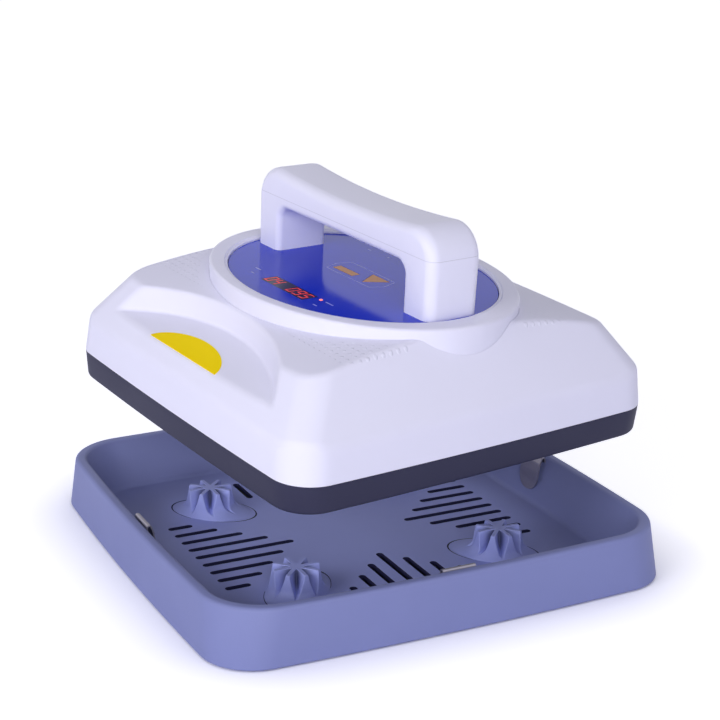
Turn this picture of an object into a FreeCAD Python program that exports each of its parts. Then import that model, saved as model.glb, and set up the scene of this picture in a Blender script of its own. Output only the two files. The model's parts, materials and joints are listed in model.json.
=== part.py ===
import FreeCAD, Part
import math
import os
import re
from types import SimpleNamespace

import Sketcher
from FreeCAD import Placement, Rotation, Vector

# A small hand-held heat press that is lifted off its parking tray.
# Row frame: origin under the middle of the tray, +X to the right, -Y towards the user, +Z up.
# The press is drawn in its own frame, with z = 0 at the seam between the white cover and the
# dark guard band, and is then held over the tray by pressPose.

os.makedirs("parts", exist_ok=True)
doc = FreeCAD.newDocument("HeatPress")
sheet = doc.addObject("Spreadsheet::Sheet", "Sizes")

# Driving dimensions in millimetres, angles in degrees.
DRIVING = [
    ("tray_margin", 17.0, "tray, how far its foot stands outside the press at the middle of a side"),
    ("tray_bow", 4.0, "tray, how far a side bows out between its corners"),
    ("tray_corner", 36.0, "tray, corner radius in plan"),
    ("tray_height", 32.2, "tray, height of the rim"),
    ("tray_draft", 2.4, "tray, how far the outer wall leans in"),
    ("rim_width", 6.0, "tray, flat top of the rim"),
    ("well_draft", 9.3, "tray, how far the inner wall leans in towards the floor"),
    ("well_corner", 24.0, "tray, corner radius of the well"),
    ("tray_wall", 2.4, "tray, moulded wall"),
    ("floor_top", 2.4, "tray, height of the floor's upper face above the ground"),
    ("slot_width", 3.6, "floor slot, width"),
    ("slot_pitch", 11.4, "floor slot, spacing"),
    ("slot_outer", 98.5, "floor slot, outer end from the middle"),
    ("slot_inner", 37.5, "floor slot, inner end of the longest slot"),
    ("slot_step", 11.6, "floor slot, how much shorter each next slot is"),
    ("slot_side_count", 4.0, "floor slots on each side of the longest one"),
    ("post_edge", 59.5, "rest post, distance from the press's outer face in x and y"),
    ("post_top", 17.6, "rest post, height of its star"),
    ("post_radius", 13.6, "rest post, radius of the star"),
    ("post_rib", 2.8, "rest post, rib thickness"),
    ("post_hub", 4.4, "rest post, hub radius"),
    ("skirt_long", 27.5, "rest post, half length of the oval skirt"),
    ("skirt_short", 17.0, "rest post, half width of the oval skirt"),
    ("skirt_top", 9.5, "rest post, height of the skirt's rim"),
    ("skirt_wall", 1.4, "rest post, wall of the skirt"),
    ("clip_width", 20.0, "wall clip, width"),
    ("clip_length", 23.0, "wall clip, length of its tongue"),
    ("clip_thick", 0.8, "wall clip, sheet thickness"),
    ("clip_play", 0.1, "wall clip, clearance in its slot and on the wall"),
    ("clip_hook", 4.0, "wall clip, how far its hook reaches down behind the wall"),
    ("clip_below_rim", 3.6, "wall clip, slot below the rim's top"),
    ("press_half", 124.0, "press, half width at the seam, middle of a side"),
    ("press_bow", 2.2, "press, how far a side bows out between its corners"),
    ("press_corner", 22.0, "press, corner radius in plan"),
    ("band_drop", 16.4, "guard band, height below the seam"),
    ("band_taper", 1.2, "guard band, how far it leans in downwards"),
    ("band_wall", 3.0, "guard band, wall and ledge thickness"),
    ("band_lip", 2.6, "guard band, thickness of its bottom lip"),
    ("ledge_edge", 26.0, "guard band, distance of its upper ledge's opening from the outer face"),
    ("ledge_corner", 14.0, "guard band, corner radius of that opening"),
    ("cover_wall", 2.5, "cover, moulded wall"),
    ("wall_height", 20.8, "cover, upright wall up to its crease"),
    ("wall_lean", 2.0, "cover, how far that wall leans in"),
    ("facet_rise", 1.45, "cover, rise per run of the four sloping faces"),
    ("facet_bow", 4.0, "cover, how far a sloping face bows out"),
    ("facet_corner", 16.0, "cover, corner radius of the sloping faces"),
    ("crown_top", 58.0, "cover, height of the arched top along its middle"),
    ("crown_radius", 415.0, "cover, radius of that arch"),
    ("scoop_radius", 145.0, "cover, plan radius of the front scoop"),
    ("scoop_depth_edge", 38.0, "cover, scoop's deepest line behind the cover's front"),
    ("scoop_start_edge", 9.4, "cover, front end of the scoop floor behind the cover's front"),
    ("scoop_height", 31.3, "cover, height of the scoop floor's front end"),
    ("scoop_tilt", 6.5, "cover, slope of the scoop floor"),
    ("scoop_draft", 12.0, "cover, lean of the scoop's curved wall"),
    ("label_radius", 50.8, "blank label, radius of its arc"),
    ("label_rise", 16.0, "blank label, height of the half moon"),
    ("label_margin", 1.2, "blank label, distance behind the scoop's front end"),
    ("label_thick", 0.2, "blank label, thickness"),
    ("ring_side_edge", 19.5, "panel ring, distance of its long ends from the cover's sides"),
    ("ring_front_edge", 44.0, "panel ring, distance of its short ends from the cover's front and back"),
    ("ring_top", 62.0, "panel ring, height"),
    ("ring_wall", 3.0, "panel ring, wall"),
    ("ring_fit", 0.15, "panel ring, clearance in the cover"),
    ("shelf_top", 36.0, "cover, shelf that carries the ring"),
    ("shelf_thick", 2.4, "cover, shelf and well thickness"),
    ("shelf_reach", 7.5, "cover, how far the shelf reaches inwards"),
    ("panel_side_edge", 15.3, "panel, distance of its long ends from the ring's outer face"),
    ("panel_front_edge", 8.8, "panel, distance of its short ends from the ring's outer face"),
    ("panel_top", 60.0, "panel, height of its glossy face"),
    ("panel_thick", 2.0, "panel, overlay thickness"),
    ("panel_fit", 0.2, "panel, clearance round the overlay and its cut-outs"),
    ("carrier_thick", 2.5, "panel carrier, thickness"),
    ("ledge_reach", 5.2, "panel ring, ledge under the carrier"),
    ("display_x", 25.0, "display, half length"),
    ("display_y", -48.5, "display, middle"),
    ("display_half", 4.5, "display, half width"),
    ("lens_margin", 0.9, "display window, how far it reaches past the display"),
    ("digit_height", 6.0, "display digit, height"),
    ("digit_width", 3.4, "display digit, width"),
    ("digit_stroke", 0.8, "display digit, stroke"),
    ("digit_thick", 0.2, "display digit, thickness"),
    ("digit_pitch", 6.6, "display digit, spacing in a group"),
    ("led_x", 30.5, "status light, place in x"),
    ("led_y", -46.0, "status light, place in y"),
    ("led_radius", 1.5, "status light, radius"),
    ("key_bar_x", -11.0, "bar key, middle in x"),
    ("key_bar_y", -2.7, "bar key, middle in y"),
    ("key_bar_long", 19.0, "bar key, length"),
    ("key_bar_wide", 5.6, "bar key, width"),
    ("key_arrow_x", 10.3, "arrow key, middle in x"),
    ("key_arrow_y", 2.5, "arrow key, middle in y"),
    ("key_arrow_long", 16.5, "arrow key, length of its back edge"),
    ("key_arrow_deep", 13.5, "arrow key, from its tip to its back edge"),
    ("key_play", 0.3, "keys, clearance in the panel"),
    ("key_deep", 1.2, "keys, thickness of a cap"),
    ("key_gap", 0.6, "keys, clearance over a switch, a little more than their travel"),
    ("key_switch", 6.0, "key switches, width"),
    ("key_switch_tall", 4.6, "key switches, height"),
    ("key_stem", 2.0, "keys, stem radius"),
    ("board_top", 47.6, "control board, height of its upper face"),
    ("board_thick", 1.6, "circuit boards, thickness"),
    ("board_half_x", 46.0, "control board, half length"),
    ("board_half_y", 42.0, "control board, half width"),
    ("board_y", -14.0, "control board, middle"),
    ("board_post", 3.0, "control board, radius of the posts that hold it"),
    ("board_edge", 5.0, "circuit boards, screw distance from the edge"),
    ("plate_edge", 9.0, "heating plate, distance of its edge from the band's outer face"),
    ("plate_corner", 18.0, "heating plate, corner radius"),
    ("plate_thick", 8.0, "heating plate, thickness"),
    ("plate_proud", 0.8, "heating plate, how far it stands below the guard band"),
    ("plate_fit", 0.6, "heating plate, gap in the guard band"),
    ("heater_edge", 5.0, "heating sheet, distance of its edge from the plate's"),
    ("heater_thick", 1.2, "heating sheet, thickness"),
    ("clamp_edge", 7.0, "clamp sheet, distance of its edge from the plate's"),
    ("clamp_thick", 1.0, "clamp sheet, thickness"),
    ("blanket_edge", 19.0, "insulation blanket, distance of its edge from the plate's"),
    ("blanket_corner", 12.0, "insulation blanket, corner radius"),
    ("blanket_hole_x", 36.0, "insulation blanket, half length of its opening"),
    ("blanket_hole_y", 18.0, "insulation blanket, half width of its opening"),
    ("wire_y", 8.0, "opening for the wires, middle"),
    ("pan_hole_x", 26.0, "base pan, half length of the opening for the wires"),
    ("pan_hole_y", 14.0, "base pan, half width of that opening"),
    ("pan_edge", 6.0, "base pan, distance of its edge from the cover's outer face"),
    ("pan_corner", 18.0, "base pan, corner radius"),
    ("pan_thick", 1.2, "base pan, thickness"),
    ("spacer_edge", 31.0, "plate spacers, distance from the plate's edge"),
    ("spacer_radius", 4.0, "plate spacers, radius"),
    ("pillar_y", 36.0, "panel pillars, place in y"),
    ("pillar_radius", 5.0, "panel pillars, radius"),
    ("screw_radius", 2.0, "main screws, shank radius"),
    ("screw_head", 3.8, "main screws, head radius"),
    ("screw_head_tall", 2.4, "main screws, head height"),
    ("screw_play", 0.1, "screws, clearance round a shank"),
    ("cover_screw_edge", 24.0, "cover screws, distance from the outer faces"),
    ("boss_radius", 5.0, "cover, radius of its screw bosses"),
    ("small_screw", 1.4, "small screws, shank radius"),
    ("small_head", 2.8, "small screws, head radius"),
    ("small_head_tall", 1.3, "small screws, head height"),
    ("leg_edge_gap", 3.2, "handle, distance of a leg from the panel's end"),
    ("leg_thick", 24.0, "handle, thickness of a leg"),
    ("handle_half", 17.5, "handle, half width"),
    ("grip_low", 87.0, "handle, underside of the grip"),
    ("grip_split", 93.0, "handle, parting line between its two shells"),
    ("handle_top", 109.0, "handle, highest point near its ends"),
    ("saddle_dip", 3.5, "handle, dip in the middle of the grip"),
    ("handle_corner", 18.5, "handle, outer corner radius"),
    ("handle_bend", 8.0, "handle, inner corner radius"),
    ("leg_edge", 5.0, "handle, radius of its long edges"),
    ("handle_wall", 3.0, "handle, moulded wall"),
    ("grip_screw_x", 40.0, "grip screws, place in x"),
    ("leg_screw_y", 8.0, "handle screws, place in y"),
    ("gland_x", 38.0, "cord gland, place in x"),
    ("gland_z", 10.4, "cord gland and switch, height"),
    ("gland_bore", 3.6, "cord gland, bore radius"),
    ("gland_neck", 6.0, "cord gland, neck radius"),
    ("gland_flange", 8.0, "cord gland, flange radius"),
    ("gland_thick", 2.0, "cord gland, flange and nut thickness"),
    ("gland_nose", 12.0, "cord gland, length outside its flange"),
    ("gland_tail", 8.0, "cord gland, length inside the cover"),
    ("switch_x", -38.0, "power switch, place in x"),
    ("switch_long", 19.4, "power switch, body length"),
    ("switch_wide", 12.6, "power switch, body height"),
    ("switch_deep", 14.0, "power switch, body depth"),
    ("switch_rim", 1.0, "power switch, how far its bezel overlaps the wall"),
    ("switch_face", 1.5, "power switch, bezel thickness"),
    ("switch_wall", 1.3, "power switch, wall round its pocket"),
    ("wall_play", 0.1, "power switch and gland, clearance in the cover's wall"),
    ("rocker_long", 15.0, "power rocker, length"),
    ("rocker_wide", 9.0, "power rocker, height"),
    ("rocker_deep", 4.0, "power rocker, depth"),
    ("rocker_angle", 8.0, "power rocker, tilt either side"),
    ("rocker_pin", 1.0, "power rocker, pivot pin radius"),
    ("pin_play", 0.05, "power rocker, clearance round its pivot pin"),
    ("power_half_x", 45.0, "power board, half length"),
    ("power_half_y", 30.0, "power board, half width"),
    ("power_y", 56.0, "power board, middle"),
    ("power_lift", 6.0, "power board, height of its spacers"),
    ("block_tall", 6.0, "terminal blocks, height"),
    ("wire_radius", 1.0, "wires, radius"),
    ("wire_bend", 8.0, "heater wires, bend radius"),
    ("relay_long", 19.0, "power relay, length"),
    ("relay_wide", 15.5, "power relay, width"),
    ("relay_tall", 15.0, "power relay, height"),
    ("transformer_long", 32.0, "power transformer, length"),
    ("transformer_wide", 26.0, "power transformer, width"),
    ("transformer_tall", 22.0, "power transformer, height"),
    ("sensor_x", 20.0, "heat sensor and thermal fuse, distance from the middle"),
    ("sensor_long", 10.0, "heat sensor and thermal fuse, length"),
    ("sensor_radius", 2.0, "heat sensor and thermal fuse, radius"),
    ("ball_x", -33.4, "motion sensor, place in x"),
    ("ball_y", -3.4, "motion sensor, place in y"),
    ("ball_z", 43.5, "motion sensor, height of its ball"),
    ("ball_radius", 1.25, "motion sensor, ball radius"),
    ("can_radius", 3.0, "motion sensor, can radius"),
    ("can_wall", 0.5, "motion sensor, can wall"),
    ("can_half", 2.5, "motion sensor, half height of the can"),
    ("seat_gap", 0.3, "seated press, clearance over the rest posts"),
    ("clip_reach", 1.0, "wall clips, how far the hook stands off the wall's inner face"),
    ("clip_eye_play", 0.4, "wall clips, how far the hole's radius passes the sheet's thickness"),
    ("cut_past", 1.0, "cutting forms, how far they run past the face that they cut"),
    ("screw_room", 1.0, "screws, empty bore beyond the tip"),
    ("post_bite", 3.0, "post screws, height of their bore above the skirt"),
    ("post_sink", 0.4, "post screws, clearance round the sunk head"),
    ("ring_bite", 9.0, "ring screws, reach into the ring's bosses"),
    ("ring_boss_wall", 0.5, "ring, how far its bosses reach past a screw head"),
    ("panel_bite", 6.0, "panel screws, reach into the pillars"),
    ("pillar_bite", 10.0, "pillar screws, reach above the base pan"),
    ("leg_boss", 4.5, "handle, radius of its screw bosses"),
    ("leg_boss_tall", 18.0, "handle, height of the bosses in its legs"),
    ("leg_bite", 16.0, "handle screws, reach above the panel's underside"),
    ("grip_bite", 6.0, "grip screws, reach past the parting line"),
    ("grip_sink", 1.8, "grip screws, depth of the seat for their heads"),
    ("gland_taper", 1.0, "cord gland, narrowing of its nose"),
    ("nut_reach", 1.0, "cord gland, how far the nut's corners pass the flange"),
    ("key_collar", 1.0, "keys, how far the collar reaches past the stem"),
    ("lead_half", 4.0, "heater wires, half the distance between them"),
    ("lead_slot", 8.0, "clamp sheet, width of the slot for the heater wires"),
    ("lift_height", 67.1, "held press, height above its seat"),
    ("held_turn", 9.65, "held press, turn against the tray"),
    ("held_axis_tilt", 23.5, "held press, lean of the turning axis from +Z towards +Y"),
]
# Sizes that follow from the ones above.
DERIVED = [
    ("tray_half", "press_half + tray_margin"),
    ("post_reach", "press_half - post_edge"),
    ("plate_half", "press_half - plate_edge"),
    ("heater_half", "plate_half - heater_edge"),
    ("clamp_half", "plate_half - clamp_edge"),
    ("blanket_half", "plate_half - blanket_edge"),
    ("pan_half", "press_half - pan_edge"),
    ("ledge_half", "press_half - ledge_edge"),
    ("cover_screw", "press_half - cover_screw_edge"),
    ("spacer_reach", "plate_half - spacer_edge"),
    ("scoop_start", "press_half - scoop_start_edge"),
    ("scoop_depth", "press_half - scoop_depth_edge"),
    ("ring_long", "press_half - ring_side_edge"),
    ("ring_short", "press_half - ring_front_edge"),
    ("panel_long", "ring_long - panel_side_edge"),
    ("panel_short", "ring_short - panel_front_edge"),
    ("leg_outer", "panel_long - leg_edge_gap"),
    ("leg_inner", "leg_outer - leg_thick"),
    ("pillar_x", "leg_inner"),
    ("leg_screw_x", "(leg_inner + leg_outer) / 2"),
    ("plate_bite", "0.7 * plate_thick"),
    ("plate_bore", "0.75 * plate_thick"),
]
for row, (alias, value, note) in enumerate(DRIVING, start=1):
    sheet.set(f"A{row}", note)
    sheet.set(f"B{row}", str(value))
    sheet.setAlias(f"B{row}", alias)
for row, (alias, rule) in enumerate(DERIVED, start=len(DRIVING) + 1):
    sheet.set(f"A{row}", alias)
    sheet.set(f"B{row}", "=" + rule)
    sheet.setAlias(f"B{row}", alias)
doc.recompute()
size = SimpleNamespace(**{name: float(sheet.get(name)) for name, *rest in DRIVING + DERIVED})

subParts = []


# ---- helpers ----

def formula(words):
    """Turns a sum of aliases into an expression on the sheet."""
    def cell(match):
        word = match.group()
        return "Sizes." + word if hasattr(size, word) else word
    return re.sub(r"[a-z_]+", cell, words)


def bind(thing, **words):
    """Binds properties to the sheet; base_x, base_y and base_z are the place."""
    for name, text in words.items():
        path = "Placement.Base." + name[-1] if name.startswith("base_") else name
        thing.setExpression(path, formula(text))
    return thing


def span(pair):
    return f"({pair[1]}) - ({pair[0]})"


def block(name, x, y, z):
    """A box between pairs of formulas."""
    box = doc.addObject("Part::Box", name)
    return bind(box, Length=span(x), Width=span(y), Height=span(z), base_x=x[0], base_y=y[0], base_z=z[0])


def rod(name, radius, z, x="0", y="0"):
    """An upright cylinder."""
    cylinder = doc.addObject("Part::Cylinder", name)
    return bind(cylinder, Radius=radius, Height=span(z), base_x=x, base_y=y, base_z=z[0])


def taper(name, low, high, z, x="0", y="0"):
    """An upright cone."""
    cone = doc.addObject("Part::Cone", name)
    return bind(cone, Radius1=low, Radius2=high, Height=span(z), base_x=x, base_y=y, base_z=z[0])


def oval(name, long, short, z):
    """An upright elliptical prism about the origin."""
    ellipse = bind(doc.addObject("Part::Ellipse", name + "_edge"), MajorRadius=long, MinorRadius=short,
                   base_z=z[0])
    prism = doc.addObject("Part::Extrusion", name)
    prism.Base = ellipse
    prism.DirMode = "Custom"
    prism.Dir = Vector(0, 0, 1)
    prism.Solid = True
    return bind(prism, LengthFwd=span(z))


def group(name, shapes):
    bundle = doc.addObject("Part::Compound", name)
    bundle.Links = shapes
    return bundle


def join(name, shapes):
    fusion = doc.addObject("Part::MultiFuse", name)
    fusion.Shapes = shapes
    return fusion


def overlap(name, shapes):
    common = doc.addObject("Part::MultiCommon", name)
    common.Shapes = shapes
    return common


def cut(name, base, tools):
    """Takes each of the tools away from base."""
    result = doc.addObject("Part::Cut", name)
    result.Base = base
    result.Tool = tools[0] if len(tools) == 1 else join(name + "_tools", tools)
    return result


def soften(name, base, radius, wanted):
    """Fillets the edges of base that wanted(edge) picks."""
    doc.recompute()
    fillet = doc.addObject("Part::Fillet", name)
    fillet.Base = base
    fillet.Edges = [(number, radius, radius) for number, edge in enumerate(base.Shape.Edges, start=1)
                    if wanted(edge)]
    return fillet


def upright(edge):
    """Whether an edge rises over more than 0.6 of its length."""
    low, high = edge.Vertexes[0].Point, edge.Vertexes[-1].Point
    return abs(low.z - high.z) > 0.6 * edge.Length


def rounded_block(name, x, y, z, corner):
    """A box with rounded upright edges."""
    return soften(name, block(name + "_box", x, y, z), corner, upright)


def centred(half):
    return (f"-({half})", half)


def bowed_outline(name, half, z, corner, bow):
    """A rounded square whose four sides bow out, as a closed wire of eight arcs at height z."""
    bend = (half ** 2 + bow ** 2) / (2 * bow)
    back = bend - half
    middle = (math.sqrt(back ** 2 - 2 * (back ** 2 - (bend - corner) ** 2)) - back) / 2
    towards = Vector(middle, middle + back, 0).normalize()
    meeting = Vector(0, -back, z) + towards * bend
    tip = Vector(middle, middle, z) + Vector(1, 1, 0).normalize() * corner
    edges = []
    for side in range(4):
        spin = Rotation(Vector(0, 0, 1), 90 * side)
        points = [Vector(-meeting.x, meeting.y, z), Vector(0, half, z), meeting, tip,
                  Vector(meeting.y, meeting.x, z)]
        start, top, end, far, after = [spin.multVec(point) for point in points]
        edges += [Part.Arc(start, top, end).toShape(), Part.Arc(end, far, after).toShape()]
    section = doc.addObject("Part::Feature", name)
    section.Shape = Part.Wire(Part.__sortEdges__(edges))
    return section


def bowed_form(name, half, z, corner, bow):
    """A solid between two bowed outlines, with their half widths, heights and corner radii in pairs."""
    form = doc.addObject("Part::Loft", name)
    form.Sections = [bowed_outline(f"{name}_at_{end}", *measures, bow)
                     for end, *measures in zip(("bottom", "top"), half, z, corner)]
    form.Solid = True
    form.Ruled = True
    return form


def corners(x, y, middle_x="0", middle_y="0"):
    """Formulas for the four corners of a rectangle."""
    return [(f"{middle_x} + {u} * ({x})", f"{middle_y} + {v} * ({y})") for u in (-1, 1) for v in (-1, 1)]


def screw(name, x, y, head, shank, head_radius, shank_radius):
    """A screw: head and shank between pairs of heights."""
    return join(name, [rod(name + "_head", head_radius, head, x, y),
                       rod(name + "_shank", shank_radius, shank, x, y)])


def body_sketch(body, role, name, height=None):
    """A sketch on one of the body's origin planes, raised by a formula."""
    sketch = body.newObject("Sketcher::SketchObject", name)
    plane = [item for item in body.Origin.OriginFeatures if item.Role == role][0]
    sketch.AttachmentSupport = [(plane, "")]
    sketch.MapMode = "FlatFace"
    if height:
        sketch.setExpression("AttachmentOffset.Base.z", formula(height))
    return sketch


def outline(sketch, points):
    """A closed outline whose corners are all bound to the sheet."""
    first = len(sketch.Geometry)
    count = len(points)
    places = [(index * 7.0 + 1.0, (index * index) % 5 + 1.0) for index in range(count)]
    for index in range(count):
        here, there = places[index], places[(index + 1) % count]
        sketch.addGeometry(Part.LineSegment(Vector(*here, 0), Vector(*there, 0)))
    for index in range(count):
        after = first + (index + 1) % count
        sketch.addConstraint(Sketcher.Constraint("Coincident", first + index, 2, after, 1))
    for index, (x, y) in enumerate(points):
        for kind, words in (("DistanceX", x), ("DistanceY", y)):
            number = sketch.addConstraint(Sketcher.Constraint(kind, -1, 1, first + index, 1, 1.0))
            sketch.setExpression(f"Constraints[{number}]", formula(words))


def circles(sketch, radius, points):
    """Circles whose radius and places are bound to the sheet."""
    for x, y in points:
        ring = sketch.addGeometry(Part.Circle(Vector(1, 1, 0), Vector(0, 0, 1), 1.0))
        number = sketch.addConstraint(Sketcher.Constraint("Radius", ring, 1.0))
        sketch.setExpression(f"Constraints[{number}]", formula(radius))
        for kind, words in (("DistanceX", x), ("DistanceY", y)):
            number = sketch.addConstraint(Sketcher.Constraint(kind, -1, 1, ring, 3, 1.0))
            sketch.setExpression(f"Constraints[{number}]", formula(words))


def feature(body, kind, name, sketch, **words):
    made = body.newObject("PartDesign::" + kind, name)
    made.Profile = sketch
    for prop, text in words.items():
        if prop in ("Length", "Angle"):
            made.setExpression(prop, formula(text))
        else:
            setattr(made, prop, text)
    return made


def new_body(name):
    return doc.addObject("PartDesign::Body", name)


def turned(name, profile):
    """A body turned about Z from an outline of (radius, height) formulas."""
    body = new_body(name)
    sketch = body_sketch(body, "XZ_Plane", name + "_profile")
    outline(sketch, profile)
    axis = [item for item in body.Origin.OriginFeatures if item.Role == "Z_Axis"][0]
    turn = feature(body, "Revolution", name + "_turn", sketch, Angle="360")
    turn.ReferenceAxis = (axis, [""])
    return body


def panel(name, half_x, half_y, z, corner, holes=(), middle=("0", "0"), windows=()):
    """A flat rounded sheet from z[0] to z[1] with round holes (radius, points) and square windows."""
    body = new_body(name)
    sketch = body_sketch(body, "XY_Plane", name + "_outline", z[0])
    mx, my = middle
    left, right = f"{mx} - ({half_x})", f"{mx} + {half_x}"
    front, back = f"{my} - ({half_y})", f"{my} + {half_y}"
    outline(sketch, [(left, front), (right, front), (right, back), (left, back)])
    last = feature(body, "Pad", name + "_sheet", sketch, Length=span(z))
    doc.recompute()
    if corner:
        edges = [f"Edge{n}" for n, edge in enumerate(last.Shape.Edges, start=1) if upright(edge)]
        last = body.newObject("PartDesign::Fillet", name + "_corners")
        last.Base = (body.Group[-2], edges)
        last.setExpression("Radius", formula(corner))
        doc.recompute()
    for number, (radius, points) in enumerate(holes):
        drill = body_sketch(body, "XY_Plane", f"{name}_holes_{number}", z[0])
        circles(drill, radius, points)
        feature(body, "Pocket", f"{name}_drill_{number}", drill, Type=1, Midplane=True)
    for number, (x, y) in enumerate(windows):
        frame = body_sketch(body, "XY_Plane", f"{name}_window_{number}", z[0])
        outline(frame, [(x[0], y[0]), (x[1], y[0]), (x[1], y[1]), (x[0], y[1])])
        feature(body, "Pocket", f"{name}_opening_{number}", frame, Type=1, Midplane=True)
    return body


def finish(thing, label, pose=Placement()):
    """Names a finished sub-part and puts it in place."""
    bound = [path.lstrip(".") for path, rule in thing.ExpressionEngine]
    if any(path.startswith("Placement") for path in bound):
        thing.Label = label + "_form"
        thing = group(label + "_node", [thing])
    thing.Label = label
    thing.Placement = pose
    subParts.append(thing)
    return thing


# ---- where the press is held ----

seatedSeam = size.post_top + size.seat_gap + size.band_drop + size.plate_proud
heldAxis = Vector(0, math.sin(math.radians(size.held_axis_tilt)),
                  math.cos(math.radians(size.held_axis_tilt)))
heldRotation = Rotation(heldAxis, size.held_turn)
sensorBall = Vector(size.ball_x, size.ball_y, size.ball_z)
turnedBall = heldRotation.multVec(sensorBall)
lifted = Vector(0, 0, seatedSeam + size.lift_height)
pressPose = Placement(sensorBall - turnedBall + lifted, heldRotation)


# ---- tray ----

# Lofted cutting forms run this far past the faces that they cut.
over = 2.0
# Rounding of a slot's ends and of a tongue's end, just short of a half circle, as shares of the width.
slotRound = 0.49
tongueRound = 0.45


def tray_slots():
    """Four fans of round-ended slots, each across the wall that it points at."""
    slots = []
    count = int(size.slot_side_count)
    for step in range(-count, count + 1):
        start = f"slot_inner + {abs(step)} * slot_step"
        across = (f"{step} * slot_pitch - slot_width / 2", f"{step} * slot_pitch + slot_width / 2")
        deep = ("-cut_past", "floor_top + cut_past")
        along = (start, "slot_outer")
        mirrored = ("-slot_outer", f"-({start})")
        places = ((along, across), (mirrored, across), (across, along), (across, mirrored))
        for wall, (x, y) in enumerate(places):
            slots.append(rounded_block(f"slot_{wall}_{step + count}", x, y, deep,
                                       slotRound * size.slot_width))
    return slots


def clip_frame(wall):
    """The frame on the inner wall's middle, just below the rim: +y into the wall, +z up along it."""
    lean = math.degrees(math.atan2(size.well_draft, size.tray_height - size.floor_top))
    drop = size.clip_below_rim * math.tan(math.radians(lean))
    reach = size.tray_half - size.tray_draft - size.rim_width - drop
    onWall = Placement(Vector(0, reach, size.tray_height - size.clip_below_rim),
                       Rotation(Vector(1, 0, 0), -lean))
    return Placement(Vector(), Rotation(Vector(0, 0, 1), 90 * wall)).multiply(onWall)


def tray_shell():
    wall, top, floor = size.tray_wall, size.tray_height, size.floor_top
    rimInside = size.tray_half - size.tray_draft - size.rim_width
    wellCorners = (size.well_corner, size.tray_corner - size.rim_width)
    flare = over * size.well_draft / (top - floor)
    outer = bowed_form("tray_outer", (size.tray_half, size.tray_half - size.tray_draft), (0, top),
                       (size.tray_corner, size.tray_corner), size.tray_bow)
    well = bowed_form("tray_well", (rimInside - size.well_draft, rimInside + flare), (floor, top + over),
                      wellCorners, size.tray_bow)
    hollow = bowed_form("tray_hollow", (size.tray_half - wall + size.tray_draft * over / top,
                                        size.tray_half - size.tray_draft * (1 - wall / top) - wall),
                        (-over, top - wall), (size.tray_corner - wall, size.tray_corner - wall),
                        size.tray_bow)
    inner = bowed_form("tray_inner", (rimInside - size.well_draft + wall - 2 * flare, rimInside + wall),
                       (floor - 2 * over, top), [corner + wall for corner in wellCorners], size.tray_bow)
    tools = [well, cut("tray_cavity", hollow, [inner])]
    for wall in range(4):
        hole = block(f"clip_hole_{wall}", centred("clip_width / 2 + clip_play"),
                     ("-tray_wall", "2 * tray_wall"), ("-clip_thick - clip_play", "clip_play"))
        tools.append(group(f"clip_slot_{wall}", [hole]))
        tools[-1].Placement = clip_frame(wall)
    for number, (x, y) in enumerate(corners("post_reach", "post_reach")):
        tools.append(rod(f"post_sink_{number}", "small_head + post_sink",
                         ("-cut_past", "small_head_tall"), x, y))
        tools.append(rod(f"post_hole_{number}", "small_screw + screw_play",
                         ("-cut_past", "floor_top + cut_past"), x, y))
    shell = cut("tray_walls", outer, tools)
    return cut("tray_shell", shell, [group("tray_slots", tray_slots())])


def rest_post(number, x, y):
    """A star of ribs standing in an oval skirt; its long axis points at the middle of the tray."""
    name = f"rest_post_{number}"
    low = bind(doc.addObject("Part::Ellipse", name + "_foot"), MajorRadius="skirt_long",
               MinorRadius="skirt_short", base_z="floor_top")
    # The round rim is an ellipse too, whose radii may not be quite equal.
    high = bind(doc.addObject("Part::Ellipse", name + "_rim"), MajorRadius="post_radius + skirt_wall",
                MinorRadius="post_radius + skirt_wall - 0.01", base_z="skirt_top")
    cone = doc.addObject("Part::Loft", name + "_cone")
    cone.Sections = [low, high]
    cone.Solid = True
    cone.Ruled = True
    well = rod(name + "_well", "post_radius - post_sink",
               ("floor_top + skirt_wall", "skirt_top + cut_past"))
    skirt = cut(name + "_skirt", cone, [well])
    bars = []
    for step in range(4):
        bar = block(f"{name}_bar_{step}", centred("post_radius + skirt_wall"), centred("post_rib / 2"),
                    ("floor_top", "post_top"))
        turned_bar = group(f"{name}_rib_{step}", [bar])
        turned_bar.Placement = Placement(Vector(), Rotation(Vector(0, 0, 1), 45 * step))
        bars.append(turned_bar)
    column = taper(name + "_column", "post_radius + skirt_wall / 2", "post_radius",
                   ("floor_top", "post_top"))
    star = overlap(name + "_star", [column, join(name + "_ribs", bars)])
    hub = rod(name + "_hub", "post_hub", ("floor_top", "post_top"))
    bore = rod(name + "_bore", "small_screw + screw_play",
               ("floor_top - cut_past", "skirt_top + post_bite"))
    post = cut(name, join(name + "_solid", [skirt, star, hub]), [bore])
    spin = math.degrees(math.atan2(y, x))
    finish(post, name, Placement(Vector(x, y, 0), Rotation(Vector(0, 0, 1), spin)))


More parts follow.
